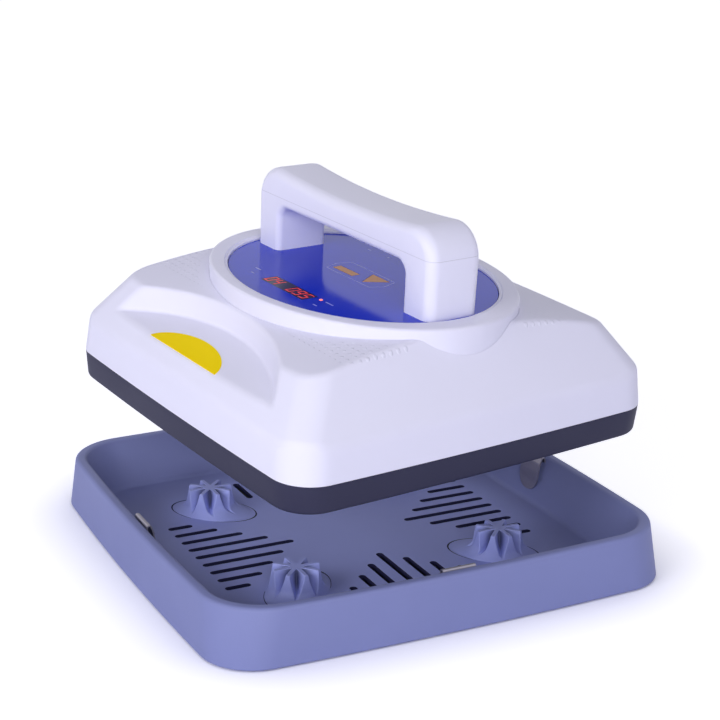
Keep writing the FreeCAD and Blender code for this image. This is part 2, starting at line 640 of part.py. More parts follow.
def wall_clip(wall):
    """A sprung steel tongue that hooks through a slot in the wall and lies along it."""
    name = f"wall_clip_{wall + 1}"
    plate = block(name + "_plate", centred("clip_width / 2"), ("-clip_length", "0"),
                  ("clip_play", "clip_play + clip_thick"))
    rounded = soften(name + "_end", plate, tongueRound * size.clip_width,
                     lambda edge: upright(edge) and edge.CenterOfMass.y < -size.clip_length / 2)
    eye = rod(name + "_eye", "clip_thick + clip_eye_play", ("0", "2 * clip_thick"), "0",
              "-clip_length + clip_width / 4")
    tongue = group(name + "_tongue", [cut(name + "_sheet", rounded, [eye])])
    tongue.Placement = Placement(Vector(), Rotation(Vector(1, 0, 0), 90))
    outside = "tray_wall + clip_reach"
    bridge = block(name + "_bridge", centred("clip_width / 2"),
                   ("-clip_play - clip_thick", outside), ("-clip_thick", "0"))
    hook = block(name + "_hook", centred("clip_width / 2"), (f"{outside} - clip_thick", outside),
                 ("-clip_hook", "0"))
    finish(join(name, [tongue, bridge, hook]), name, clip_frame(wall))


def post_screws():
    screws = [screw(f"post_screw_{number}", x, y, ("0", "small_head_tall"), ("0", "skirt_top"),
                    "small_head", "small_screw")
              for number, (x, y) in enumerate(corners("post_reach", "post_reach"))]
    finish(group("post_screws", screws), "post_screws")


finish(tray_shell(), "tray_shell")
for number, (u, v) in enumerate(((-1, -1), (1, -1), (1, 1), (-1, 1)), start=1):
    rest_post(number, u * size.post_reach, v * size.post_reach)
post_screws()
for wall in range(4):
    wall_clip(wall)


# ---- guard band, heating plate and the layers between ----

bandBottom = "-band_drop"
plateLow = "-band_drop - plate_proud"
plateHigh = f"{plateLow} + plate_thick"
heaterHigh = f"{plateHigh} + heater_thick"
clampHigh = f"{heaterHigh} + clamp_thick"
spacerPoints = [(f"{u} * spacer_reach", f"{v} * spacer_reach")
                for u in (-1, 0, 1) for v in (-1, 0, 1) if u or v]
pillarPoints = corners("pillar_x", "pillar_y")
coverScrewPoints = corners("cover_screw", "cover_screw")
wireWindow = (centred("pan_hole_x"), ("wire_y - pan_hole_y", "wire_y + pan_hole_y"))


def guard_band():
    inside = size.press_half - size.band_wall
    leanAt = size.band_taper / size.band_drop
    innerCorner = size.press_corner - size.band_wall
    outer = bowed_form("band_outer", (size.press_half - size.band_taper, size.press_half),
                       (-size.band_drop, 0), [size.press_corner] * 2, size.press_bow)
    cavity = bowed_form("band_cavity", (inside - leanAt * (size.band_drop - size.band_lip),
                                        inside - leanAt * size.band_wall),
                        (size.band_lip - size.band_drop, -size.band_wall), [innerCorner] * 2,
                        size.press_bow)
    mouthHalf = centred("plate_half + plate_fit")
    mouth = rounded_block("band_mouth", mouthHalf, mouthHalf,
                          (f"{bandBottom} - cut_past", f"{bandBottom} + band_lip + cut_past"),
                          size.plate_corner + size.plate_fit)
    window = rounded_block("band_window", centred("ledge_half"), centred("ledge_half"),
                           ("-band_wall - cut_past", "cut_past"), size.ledge_corner)
    holes = [rod(f"band_hole_{number}", "screw_radius + screw_play",
                 ("-band_wall - cut_past", "cut_past"), x, y)
             for number, (x, y) in enumerate(coverScrewPoints)]
    finish(cut("guard_band", outer, [cavity, mouth, window] + holes), "guard_band", pressPose)


def heating_plate():
    slab = rounded_block("plate_slab", centred("plate_half"), centred("plate_half"), (plateLow, plateHigh),
                         size.plate_corner)
    holes = [rod(f"plate_hole_{number}", "screw_radius + screw_play",
                 (f"{plateHigh} - plate_bore", f"{plateHigh} + cut_past"), x, y)
             for number, (x, y) in enumerate(spacerPoints)]
    finish(cut("heating_plate", slab, holes), "heating_plate", pressPose)


def heater_layers():
    spacerHole = ("spacer_radius + plate_fit / 2", spacerPoints)
    wires = (centred("lead_half + 2 * wire_radius"),
             ("wire_y + pan_hole_y - lead_slot", "wire_y + pan_hole_y"))
    finish(panel("heater_sheet", "heater_half", "heater_half", (plateHigh, heaterHigh), "plate_corner",
                 [spacerHole]), "heater_sheet", pressPose)
    finish(panel("clamp_sheet", "clamp_half", "clamp_half", (heaterHigh, clampHigh), "plate_corner",
                 [spacerHole], windows=[wires]), "clamp_sheet", pressPose)
    opening = (centred("blanket_hole_x"), ("wire_y - blanket_hole_y", "wire_y + blanket_hole_y"))
    finish(panel("insulation_blanket", "blanket_half", "blanket_half", (clampHigh, "0"), "blanket_corner",
                 [spacerHole, ("screw_head + plate_fit", pillarPoints)], windows=[opening]),
           "insulation_blanket", pressPose)


def base_pan():
    holes = ("screw_radius + screw_play", spacerPoints + pillarPoints + coverScrewPoints)
    boardHoles = ("small_screw + screw_play", powerPoints)
    finish(panel("base_pan", "pan_half", "pan_half", ("0", "pan_thick"), "pan_corner", [holes, boardHoles],
                 windows=[wireWindow]), "base_pan", pressPose)


def plate_fasteners():
    spacers = []
    screws = []
    for number, (x, y) in enumerate(spacerPoints):
        tube = rod(f"spacer_{number}", "spacer_radius", (plateHigh, "0"), x, y)
        hole = rod(f"spacer_hole_{number}", "screw_radius + screw_play",
                   (f"{plateHigh} - cut_past", "cut_past"), x, y)
        spacers.append(cut(f"plate_spacer_{number}", tube, [hole]))
        screws.append(screw(f"plate_screw_{number}", x, y, ("pan_thick", "pan_thick + screw_head_tall"),
                            (f"{plateHigh} - plate_bite", "pan_thick + cut_past"), "screw_head",
                            "screw_radius"))
    finish(group("plate_spacers", spacers), "plate_spacers", pressPose)
    finish(group("plate_screws", screws), "plate_screws", pressPose)


# ---- white cover ----

shelfLow = "shelf_top - shelf_thick"


def cover_form(name, wall):
    """Upright walls, four sloping faces and an arched crown, each moved in by a wall."""
    top = size.ring_top
    foot = size.press_half - wall
    walls = bowed_form(name + "_walls", (foot, foot - size.wall_lean * top / size.wall_height),
                       (0, top), [size.press_corner - wall] * 2, size.press_bow)
    crease = size.press_half - size.wall_lean - wall * math.hypot(1, size.facet_rise) / size.facet_rise
    faces = bowed_form(name + "_faces", (crease + (size.wall_height + over) / size.facet_rise,
                                         crease - (top + over - size.wall_height) / size.facet_rise),
                       (-over, top + over), [size.facet_corner - wall] * 2, size.facet_bow)
    crown = doc.addObject("Part::Cylinder", name + "_crown")
    bind(crown, Radius=f"crown_radius - {wall}", Height="3 * press_half", base_x="-1.5 * press_half",
         base_z="crown_top - crown_radius")
    crown.Placement.Rotation = Rotation(Vector(0, 1, 0), 90)
    return overlap(name + "_form", [overlap(name + "_sides", [walls, faces]), crown])


scoopFrame = Placement(Vector(0, -size.scoop_start, size.scoop_height),
                       Rotation(Vector(1, 0, 0), size.scoop_tilt))


def scoop(name, wall):
    """The hollow at the front: above a sloping floor and inside a cone whose axis stands in front."""
    slope = "tan(scoop_draft * 1deg)"
    outwards = f"{wall} / cos(scoop_draft * 1deg)"
    centre = "-(scoop_depth + scoop_radius)"
    cone = taper(name + "_cone", f"scoop_radius - scoop_height * {slope} + {outwards}",
                 f"scoop_radius + (2 * ring_top - scoop_height) * {slope} + {outwards}",
                 ("0", "2 * ring_top"), "0", centre)
    above = block(name + "_above", centred("press_half"), ("-scoop_radius", "scoop_radius"),
                  (f"-{wall}", "press_half"))
    tilted = group(name + "_tilted", [above])
    tilted.Placement = scoopFrame
    return overlap(name, [cone, tilted])


def back_wall(x, z):
    """The frame on the back wall's outer face at x and z: +y out of the wall, +z up along it."""
    bend = (size.press_half ** 2 + size.press_bow ** 2) / (2 * size.press_bow)
    radius = bend - size.wall_lean * z / size.wall_height
    spin = -math.degrees(math.asin(x / radius))
    lean = math.degrees(math.atan2(size.wall_lean, size.wall_height))
    y = size.press_half - bend + math.sqrt(radius ** 2 - x ** 2)
    facing = Rotation(Vector(0, 0, 1), spin).multiply(Rotation(Vector(1, 0, 0), lean))
    return Placement(Vector(x, y, z), facing)


glandFrame = back_wall(size.gland_x, size.gland_z)
switchFrame = back_wall(size.switch_x, size.gland_z)
outward = Placement(Vector(), Rotation(Vector(1, 0, 0), -90))


def top_cover():
    outer = cut("cover_block", cover_form("cover_outer", 0), [scoop("scoop_cut", "0")])
    cavity = cut("cover_cavity", cover_form("cover_inner", size.cover_wall),
                 [scoop("scoop_wall", "cover_wall")])
    shell = cut("cover_shell", outer, [cavity])
    collar = oval("cover_collar", "ring_long + ring_fit + shelf_thick",
                  "ring_short + ring_fit + shelf_thick", (shelfLow, "ring_top"))
    bosses = [rod(f"cover_boss_{number}", "boss_radius", ("pan_thick", "ring_top"), x, y)
              for number, (x, y) in enumerate(coverScrewPoints)]
    added = overlap("cover_added", [outer, join("cover_inside", [collar] + bosses)])
    seat = oval("cover_seat", "ring_long + ring_fit", "ring_short + ring_fit",
                ("shelf_top", "ring_top + cut_past"))
    mouth = oval("cover_mouth", "ring_long - shelf_reach", "ring_short - shelf_reach",
                 (f"{shelfLow} - cut_past", "shelf_top + cut_past"))
    bores = [rod(f"cover_bore_{number}", "screw_radius + screw_play",
                 ("0", "wall_height + screw_room"), x, y)
             for number, (x, y) in enumerate(coverScrewPoints)]
    ringBores = [rod(f"cover_ring_bore_{number}", "small_screw + screw_play",
                     (f"{shelfLow} - cut_past", "shelf_top + cut_past"), x, y)
                 for number, (x, y) in enumerate(ringScrewPoints)]
    # A screw head also clears what the cover's walls would leave just under the shelf.
    ringBores += [rod(f"cover_ring_sink_{number}", "small_head + screw_play",
                      (f"{shelfLow} - 3 * small_head_tall", shelfLow), x, y)
                  for number, (x, y) in enumerate(ringScrewPoints)]
    glandHole = group("gland_hole", [rod("gland_hole_rod", "gland_neck + wall_play",
                                         ("-2 * cover_wall", "cover_wall"))])
    glandHole.Placement = glandFrame.multiply(outward)
    switchBox = block("switch_hole_box", centred("switch_long / 2 + wall_play"),
                      ("-2 * cover_wall", "cover_wall"), centred("switch_wide / 2 + wall_play"))
    switchHole = group("switch_hole", [switchBox])
    switchHole.Placement = switchFrame
    finish(cut("top_cover", join("cover_solid", [shell, added]),
               [seat, mouth, glandHole, switchHole] + bores + ringBores), "top_cover", pressPose)


def cover_screws():
    screws = [screw(f"cover_screw_{number}", x, y, ("-band_wall - screw_head_tall", "-band_wall"),
                    ("-band_wall - cut_past", "wall_height"), "screw_head", "screw_radius")
              for number, (x, y) in enumerate(coverScrewPoints)]
    finish(group("cover_screws", screws), "cover_screws", pressPose)


def side_label():
    """A blank half moon on the floor of the scoop."""
    disc = rod("label_disc", "label_radius", ("0", "label_thick"), "0",
               "label_margin + label_rise - label_radius")
    strip = block("label_strip", centred("label_radius"), ("label_margin", "label_radius"),
                  ("0", "label_thick"))
    finish(overlap("side_label", [disc, strip]), "side_label", pressPose.multiply(scoopFrame))


def cord_gland():
    """A moulded bush through the back wall; the cord enters it from outside."""
    profile = [("gland_bore", "-cover_wall - gland_tail"), ("gland_neck", "-cover_wall - gland_tail"),
               ("gland_neck", "wall_play"), ("gland_flange", "wall_play"), ("gland_flange", "gland_thick"),
               ("gland_neck", "gland_thick"),
               ("gland_neck - gland_taper", "gland_thick + gland_nose"),
               ("gland_bore", "gland_thick + gland_nose")]
    pose = pressPose.multiply(glandFrame).multiply(outward)
    finish(turned("cord_gland", profile), "cord_gland", pose)
    nut = doc.addObject("Part::Prism", "gland_nut_hex")
    nut.Polygon = 6
    nutLow = "-cover_wall - 2 * wall_play - 2 * gland_thick"
    bind(nut, Circumradius="gland_flange + nut_reach", Height="2 * gland_thick", base_z=nutLow)
    hole = rod("gland_nut_hole", "gland_neck + pin_play", (f"{nutLow} - cut_past", "0"))
    finish(cut("gland_nut", nut, [hole]), "gland_nut", pose)


def power_switch():
    """A housing clipped into the back wall with a rocker that tilts about an upright pin."""
    pocketX = "switch_long / 2 - switch_wall"
    pocketZ = "switch_wide / 2 - switch_wall"
    housing = block("switch_housing", centred("switch_long / 2"), ("-switch_deep", "wall_play"),
                    centred("switch_wide / 2"))
    bezel = block("switch_bezel", centred("switch_long / 2 + switch_rim"), ("wall_play", "switch_face"),
                  centred("switch_wide / 2 + switch_rim"))
    pocket = block("switch_pocket", centred(pocketX), ("-2 * rocker_deep", "switch_face + cut_past"),
                   centred(pocketZ))
    pivot = rod("switch_pivot_hole", "rocker_pin + pin_play", centred(f"{pocketZ} + switch_wall / 2"),
                "0", "-rocker_deep / 2")
    pose = pressPose.multiply(switchFrame)
    finish(cut("switch_frame", join("switch_solid", [housing, bezel]), [pocket, pivot]), "switch_frame",
           pose)
    body = new_body("power_rocker")
    rise = "rocker_long / 2 * tan(rocker_angle * 1deg)"
    sketch = body_sketch(body, "XY_Plane", "rocker_outline", "-rocker_wide / 2")
    outline(sketch, [("-rocker_long / 2", "-rocker_deep"), ("rocker_long / 2", "-rocker_deep"),
                     ("rocker_long / 2", f"switch_face + {rise} / 2"),
                     ("0", f"switch_face - {rise} / 2"),
                     ("-rocker_long / 2", f"switch_face + {rise} / 2")])
    feature(body, "Pad", "rocker_body", sketch, Length="rocker_wide")
    doc.recompute()
    pinHalf = f"({pocketZ} + switch_wall / 2 - wall_play)"
    pin = body_sketch(body, "XY_Plane", "rocker_pin_outline", f"-{pinHalf}")
    circles(pin, "rocker_pin", [("0", "-rocker_deep / 2")])
    feature(body, "Pad", "rocker_pins", pin, Length=f"2 * {pinHalf}")
    pivotPoint = Placement(Vector(0, -size.rocker_deep / 2, 0),
                           Rotation(Vector(0, 0, 1), size.rocker_angle))
    onPivot = pivotPoint.multiply(Placement(Vector(0, size.rocker_deep / 2, 0), Rotation()))
    finish(body, "power_rocker", pose.multiply(onPivot))


# ---- panel, keys and display ----

panelLow = "panel_top - panel_thick"
carrierLow = f"{panelLow} - carrier_thick"
ledgeLow = f"{carrierLow} - carrier_thick"
ringScrewX = "ring_long - 1.5 * small_head"
ringScrewY = "ring_short - 1.5 * small_head"
ringScrewPoints = [(ringScrewX, "0"), ("0", ringScrewY), (f"-({ringScrewX})", "0"),
                   ("0", f"-({ringScrewY})")]
boardPoints = corners("board_half_x - board_edge", "board_half_y - board_edge", "0", "board_y")
powerPoints = corners("power_half_x - board_edge", "power_half_y - board_edge", "0", "power_y")
handleScrewPoints = corners("leg_screw_x", "leg_screw_y")
boardLow = "board_top - board_thick"
displaySpan = (centred("display_x"), ("display_y - display_half", "display_y + display_half"))
keyPoints = [("key_bar_x", "key_bar_y"), ("key_arrow_x", "key_arrow_y")]


def grown(pair, by):
    return (f"{pair[0]} - ({by})", f"{pair[1]} + {by}")


def key_cap(name, play, z):
    """The bar, or the arrow about its centre of area, grown by play all round, between two heights."""
    if name == "bar_key":
        x = ("key_bar_x - key_bar_long / 2", "key_bar_x + key_bar_long / 2")
        y = ("key_bar_y - key_bar_wide / 2", "key_bar_y + key_bar_wide / 2")
        return block(f"{name}_{play}_cap", grown(x, play), grown(y, play), z)
    body = new_body(f"{name}_{play}_cap")
    sketch = body_sketch(body, "XY_Plane", f"{name}_{play}_outline", z[0])
    back = f"key_arrow_y + key_arrow_deep / 3 + {play}"
    outline(sketch, [("key_arrow_x", f"key_arrow_y - 2 * key_arrow_deep / 3 - 2 * {play}"),
                     (f"key_arrow_x + key_arrow_long / 2 + 2 * {play}", back),
                     (f"key_arrow_x - key_arrow_long / 2 - 2 * {play}", back)])
    feature(body, "Pad", f"{name}_{play}_pad", sketch, Length=span(z))
    return body


def panel_ring():
    skirtLong, skirtShort = "panel_long + panel_fit", "panel_short + panel_fit"
    body = oval("ring_body", "ring_long", "ring_short", ("shelf_top", "ring_top"))
    hollow = oval("ring_hollow", "ring_long - ring_wall", "ring_short - ring_wall",
                  ("shelf_top - cut_past", "ring_top - carrier_thick"))
    skirt = oval("ring_skirt", f"{skirtLong} + carrier_thick", f"{skirtShort} + carrier_thick",
                 (ledgeLow, "ring_top"))
    space = cut("ring_space", hollow, [skirt])
    opening = oval("ring_opening", skirtLong, skirtShort, (carrierLow, "ring_top + cut_past"))
    window = oval("ring_window", "panel_long - ledge_reach", "panel_short - ledge_reach",
                  (f"{ledgeLow} - cut_past", f"{carrierLow} + cut_past"))
    bosses = [rod(f"ring_boss_{number}", "small_head + ring_boss_wall",
                  ("shelf_top", "ring_top - carrier_thick"), x, y)
              for number, (x, y) in enumerate(ringScrewPoints)]
    bores = [rod(f"ring_bore_{number}", "small_screw + screw_play",
                 ("shelf_top - cut_past", "shelf_top + ring_bite + screw_room"), x, y)
             for number, (x, y) in enumerate(ringScrewPoints)]
    bossesInside = overlap("ring_bosses", [body, join("ring_boss_rods", bosses)])
    solid = join("ring_solid", [cut("ring_shell", body, [space, opening, window]), bossesInside])
    finish(cut("panel_ring", solid, bores), "panel_ring", pressPose)
    screws = [screw(f"ring_screw_{number}", x, y, (f"{shelfLow} - small_head_tall", shelfLow),
                    (f"{shelfLow} - cut_past", "shelf_top + ring_bite"), "small_head", "small_screw")
              for number, (x, y) in enumerate(ringScrewPoints)]
    finish(group("ring_screws", screws), "ring_screws", pressPose)


def panel_carrier():
    """The plate under the overlay; it holds the control board, the keys and the handle."""
    sheetBody = oval("carrier_sheet", "panel_long", "panel_short", (carrierLow, panelLow))
    posts = [rod(f"carrier_post_{number}", "board_post",
                 ("board_top", f"{carrierLow} + cut_past"), x, y)
             for number, (x, y) in enumerate(boardPoints)]
    through = (f"{carrierLow} - cut_past", f"{panelLow} + cut_past")
    holes = [rod(f"carrier_board_hole_{number}", "small_screw + screw_play",
                 ("board_top - cut_past", carrierLow), x, y)
             for number, (x, y) in enumerate(boardPoints)]
    holes += [rod(f"carrier_handle_hole_{number}", "screw_radius + screw_play", through, x, y)
              for number, (x, y) in enumerate(handleScrewPoints)]
    for number, (x, y) in enumerate(pillarPoints):
        holes.append(rod(f"carrier_hole_{number}", "small_screw + screw_play", through, x, y))
        holes.append(rod(f"carrier_sink_{number}", "small_head + screw_play",
                         (f"{panelLow} - small_head_tall", f"{panelLow} + cut_past"), x, y))
    holes += [rod(f"carrier_stem_hole_{number}", "key_stem + screw_play", through, x, y)
              for number, (x, y) in enumerate(keyPoints)]
    holes.append(rod("carrier_led_hole", "led_radius + screw_play", through, "led_x", "led_y"))
    holes.append(block("carrier_display_hole", grown(displaySpan[0], "panel_fit"),
                       grown(displaySpan[1], "panel_fit"), through))
    finish(cut("panel_carrier", join("carrier_solid", [sheetBody] + posts), holes), "panel_carrier",
           pressPose)
    screws = [screw(f"panel_screw_{number}", x, y, (f"{panelLow} - small_head_tall", panelLow),
                    (f"{carrierLow} - panel_bite", f"{panelLow} - cut_past"), "small_head",
                    "small_screw")
              for number, (x, y) in enumerate(pillarPoints)]
    finish(group("panel_screws", screws), "panel_screws", pressPose)


def panel_overlay():
    """The glossy coloured face, cut out for the handle, the window, the keys and the light."""
    face = oval("overlay_face", "panel_long", "panel_short", (panelLow, "panel_top"))
    through = (f"{panelLow} - cut_past", "panel_top + cut_past")
    tools = [block("overlay_window", grown(displaySpan[0], "lens_margin + panel_fit / 2"),
                   grown(displaySpan[1], "lens_margin + panel_fit / 2"), through),
             rod("overlay_led_hole", "led_radius + screw_play", through, "led_x", "led_y"),
             key_cap("bar_key", "key_play", through), key_cap("arrow_key", "key_play", through)]
    for side in (-1, 1):
        leg = (f"{side} * (leg_inner + leg_outer) / 2 - (leg_outer - leg_inner) / 2",
               f"{side} * (leg_inner + leg_outer) / 2 + (leg_outer - leg_inner) / 2")
        inside = [f"{side} * (leg_inner - panel_fit)", f"{side} * (leg_outer - 2 * leg_edge)"]
        across = centred("handle_half + panel_fit")
        tools.append(rounded_block(f"overlay_leg_{side + 1}", grown(leg, "panel_fit"), across, through,
                                   size.leg_edge))
        tools.append(block(f"overlay_leg_inside_{side + 1}", tuple(inside[::side]), across, through))
    finish(cut("panel_overlay", face, tools), "panel_overlay", pressPose)


def display():
    top = f"{panelLow} - digit_thick - panel_fit"
    finish(block("display_module", *displaySpan, ("board_top", top)), "display_module", pressPose)
    z = (top, f"{top} + digit_thick")
    halfHigh, halfWide, stroke = "digit_height / 2", "digit_width / 2", "digit_stroke"
    bars = {
        "top": (centred(halfWide), (f"{halfHigh} - {stroke}", halfHigh)),
        "middle": (centred(halfWide), (f"-{stroke} / 2", f"{stroke} / 2")),
        "bottom": (centred(halfWide), (f"-({halfHigh})", f"{stroke} - ({halfHigh})")),
        "upper_left": ((f"-({halfWide})", f"{stroke} - ({halfWide})"), ("0", halfHigh)),
        "upper_right": ((f"{halfWide} - {stroke}", halfWide), ("0", halfHigh)),
        "lower_left": ((f"-({halfWide})", f"{stroke} - ({halfWide})"), (f"-({halfHigh})", "0")),
        "lower_right": ((f"{halfWide} - {stroke}", halfWide), (f"-({halfHigh})", "0")),
    }
    missing = {"0": ["middle"], "4": ["top", "bottom", "lower_left"], "9": ["lower_left"],
               "5": ["upper_right", "lower_left"]}
    digits = []
    # Places count in digit pitches from the display's middle.
    for place, digit in ((-2.6, "0"), (-1.6, "4"), (0.6, "0"), (1.6, "9"), (2.6, "5")):
        kept = [block(f"digit_{place}_{bar}", *spans, z) for bar, spans in bars.items()
                if bar not in missing[digit]]
        number = group(f"digit_at_{place}", [join(f"digit_{place}", kept)])
        bind(number, base_x=f"{place} * digit_pitch", base_y="display_y")
        digits.append(number)
    finish(group("display_digits", digits), "display_digits", pressPose)
    window = rounded_block("display_window", grown(displaySpan[0], "lens_margin"),
                           grown(displaySpan[1], "lens_margin"), (panelLow, "panel_top"),
                           size.digit_stroke)
    finish(window, "display_window", pressPose)


def keys():
    capLow = "panel_top - key_deep"
    switchTop = "board_top + key_switch_tall"
    switches = []
    for name, (x, y) in zip(("bar_key", "arrow_key"), keyPoints):
        cap = key_cap(name, "0", (capLow, "panel_top"))
        foot = f"{switchTop} + key_gap"
        stem = rod(name + "_stem", "key_stem", (foot, f"{capLow} + key_deep / 2"), x, y)
        collar = rod(name + "_collar", "key_stem + key_collar", (foot, f"{carrierLow} - key_gap / 3"),
                     x, y)
        finish(join(name, [cap, stem, collar]), name, pressPose)
        switches.append(block(name + "_switch", grown((x, x), "key_switch / 2"),
                              grown((y, y), "key_switch / 2"), ("board_top", switchTop)))
    finish(group("key_switches", switches), "key_switches", pressPose)


def status_led():
    finish(rod("status_led", "led_radius", ("board_top", "panel_top"), "led_x", "led_y"), "status_led",
           pressPose)


def control_board():
    finish(panel("control_board", "board_half_x", "board_half_y", (boardLow, "board_top"), "",
                 [("small_screw + screw_play", boardPoints)], ("0", "board_y")), "control_board", pressPose)
    screws = [screw(f"board_screw_{number}", x, y, (f"{boardLow} - small_head_tall", boardLow),
                    (f"{boardLow} - cut_past", f"{carrierLow} - screw_room"), "small_head",
                    "small_screw")
              for number, (x, y) in enumerate(boardPoints)]
    finish(group("board_screws", screws), "board_screws", pressPose)
    ribbon = block("control_ribbon", ("-2 * board_half_x / 3", "-board_half_x / 3"),
                   ("power_y - power_half_y + board_thick / 4", "power_y - power_half_y + board_thick"),
                   ("pan_thick + power_lift + board_thick", boardLow))
    finish(ribbon, "control_ribbon", pressPose)


def motion_sensor():
    """A small can with a loose ball, which switches the press off when it is left still."""
    can = rod("sensor_can", "can_radius", ("ball_z - can_half", boardLow), "ball_x", "ball_y")
    inside = rod("sensor_inside", "can_radius - can_wall",
                 ("ball_z - can_half + can_wall", f"{boardLow} - can_wall"), "ball_x", "ball_y")
    finish(cut("tilt_sensor_can", can, [inside]), "tilt_sensor_can", pressPose)
    ball = doc.addObject("Part::Sphere", "sensor_ball")
    bind(ball, Radius="ball_radius", base_x="ball_x", base_y="ball_y", base_z="ball_z")
    finish(ball, "tilt_sensor_ball", pressPose)


# ---- handle ----

saddleTop = "handle_top - saddle_dip"
saddleRadius = "((leg_outer - handle_corner)^2 + saddle_dip^2) / (2 * saddle_dip)"


def handle_form(name, wall, corner, bend, edge):
    """The handle's outer form, or the form moved in by a wall."""
    bar = block(name + "_bar", centred(f"leg_outer - {wall}"), centred(f"handle_half - {wall}"),
                (f"{panelLow} + {wall}", f"handle_top - {wall}"))
    topCorners = soften(name + "_corners", bar, corner,
                        lambda edge: abs(edge.tangentAt(edge.FirstParameter).y) > 0.9
                        and edge.CenterOfMass.z > size.grip_low)
    gap = block(name + "_gap", centred(f"leg_inner + {wall}"), centred("2 * handle_half"),
                ("0", f"grip_low + {wall}"))
    gapCorners = soften(name + "_gap_corners", gap, bend,
                        lambda edge: abs(edge.tangentAt(edge.FirstParameter).y) > 0.9
                        and edge.CenterOfMass.z > size.panel_top)
    saddle = doc.addObject("Part::Cylinder", name + "_saddle")
    bind(saddle, Radius=f"{saddleRadius} + {wall}", Height="4 * handle_half", base_y="2 * handle_half",
         base_z=f"{saddleTop} + {saddleRadius}")
    saddle.Placement.Rotation = Rotation(Vector(1, 0, 0), 90)
    if edge:
        topCorners = soften(name + "_soft", topCorners, edge,
                            lambda item: abs(abs(item.CenterOfMass.y) - size.handle_half) < 0.01
                            and item.CenterOfMass.z > size.panel_top)
    return cut(name + "_form", topCorners, [gapCorners, saddle])


def handle():
    outer = handle_form("handle_outer", "0", size.handle_corner, size.handle_bend, size.leg_edge)
    hollow = handle_form("handle_inner", "handle_wall", size.handle_corner - size.handle_wall,
                         size.handle_bend + size.handle_wall, 0)
    lowHalf = block("handle_low_half", centred("2 * leg_outer"), centred("2 * handle_half"),
                    ("0", "grip_split"))
    highHalf = block("handle_high_half", centred("2 * leg_outer"), centred("2 * handle_half"),
                     ("grip_split", "2 * handle_top"))
    gripPoints = [("-grip_screw_x", "0"), ("grip_screw_x", "0")]
    legBosses = [rod(f"leg_boss_{number}", "leg_boss", (panelLow, f"{panelLow} + leg_boss_tall"), x, y)
                 for number, (x, y) in enumerate(handleScrewPoints)]
    legBores = [rod(f"leg_bore_{number}", "screw_radius + screw_play",
                    (f"{panelLow} - cut_past", f"{panelLow} + leg_boss_tall"), x, y)
                for number, (x, y) in enumerate(handleScrewPoints)]
    gripBosses = [rod(f"grip_boss_{number}", "leg_boss", ("grip_low", "handle_top"), x, y)
                  for number, (x, y) in enumerate(gripPoints)]
    gripBores = [rod(f"grip_bore_{number}", "small_screw + screw_play",
                     ("grip_low", "grip_split + grip_bite + screw_room"), x, y)
                 for number, (x, y) in enumerate(gripPoints)]
    gripSinks = [rod(f"grip_sink_{number}", "small_head + screw_play",
                     ("grip_low - cut_past", "grip_low + grip_sink"), x, y)
                 for number, (x, y) in enumerate(gripPoints)]
    walls = cut("handle_walls", outer, [hollow])
    bosses = overlap("handle_bosses", [outer, join("handle_boss_rods", legBosses + gripBosses)])
    whole = cut("handle_whole", join("handle_solid", [walls, bosses]), legBores + gripBores + gripSinks)
    finish(overlap("handle_lower", [whole, lowHalf]), "handle_lower", pressPose)
    finish(overlap("handle_upper", [whole, highHalf]), "handle_upper", pressPose)
    screws = [screw(f"handle_screw_{number}", x, y, (f"{carrierLow} - screw_head_tall", carrierLow),
                    (f"{carrierLow} - cut_past", f"{panelLow} + leg_bite"), "screw_head",
                    "screw_radius")
              for number, (x, y) in enumerate(handleScrewPoints)]
    finish(group("handle_screws", screws), "handle_screws", pressPose)
    screws = [screw(f"grip_screw_{number}", x, y,
                    ("grip_low + grip_sink - small_head_tall", "grip_low + grip_sink"),
                    ("grip_low + grip_sink - small_head_tall / 2", "grip_split + grip_bite"),
                    "small_head", "small_screw")
              for number, (x, y) in enumerate(gripPoints)]
    finish(group("grip_screws", screws), "grip_screws", pressPose)


# ---- pillars, power board and wires ----

def support_pillars():
    pillars = []
    screws = []
    for number, (x, y) in enumerate(pillarPoints):
        column = rod(f"pillar_rod_{number}", "pillar_radius", ("pan_thick", carrierLow), x, y)
        low = rod(f"pillar_low_{number}", "screw_radius + screw_play",
                  ("0", "pan_thick + pillar_bite + 2 * screw_room"), x, y)
        high = rod(f"pillar_high_{number}", "small_screw + screw_play",
                   (f"{carrierLow} - panel_bite - screw_room", f"{carrierLow} + cut_past"), x, y)
        pillars.append(cut(f"pillar_{number}", column, [low, high]))
        screws.append(screw(f"pillar_screw_{number}", x, y, ("-screw_head_tall", "0"),
                            ("-cut_past", "pan_thick + pillar_bite"), "screw_head", "screw_radius"))
    finish(group("support_pillars", pillars), "support_pillars", pressPose)
    finish(group("pillar_screws", screws), "pillar_screws", pressPose)


boardUnder = "pan_thick + power_lift"
boardOver = f"{boardUnder} + board_thick"


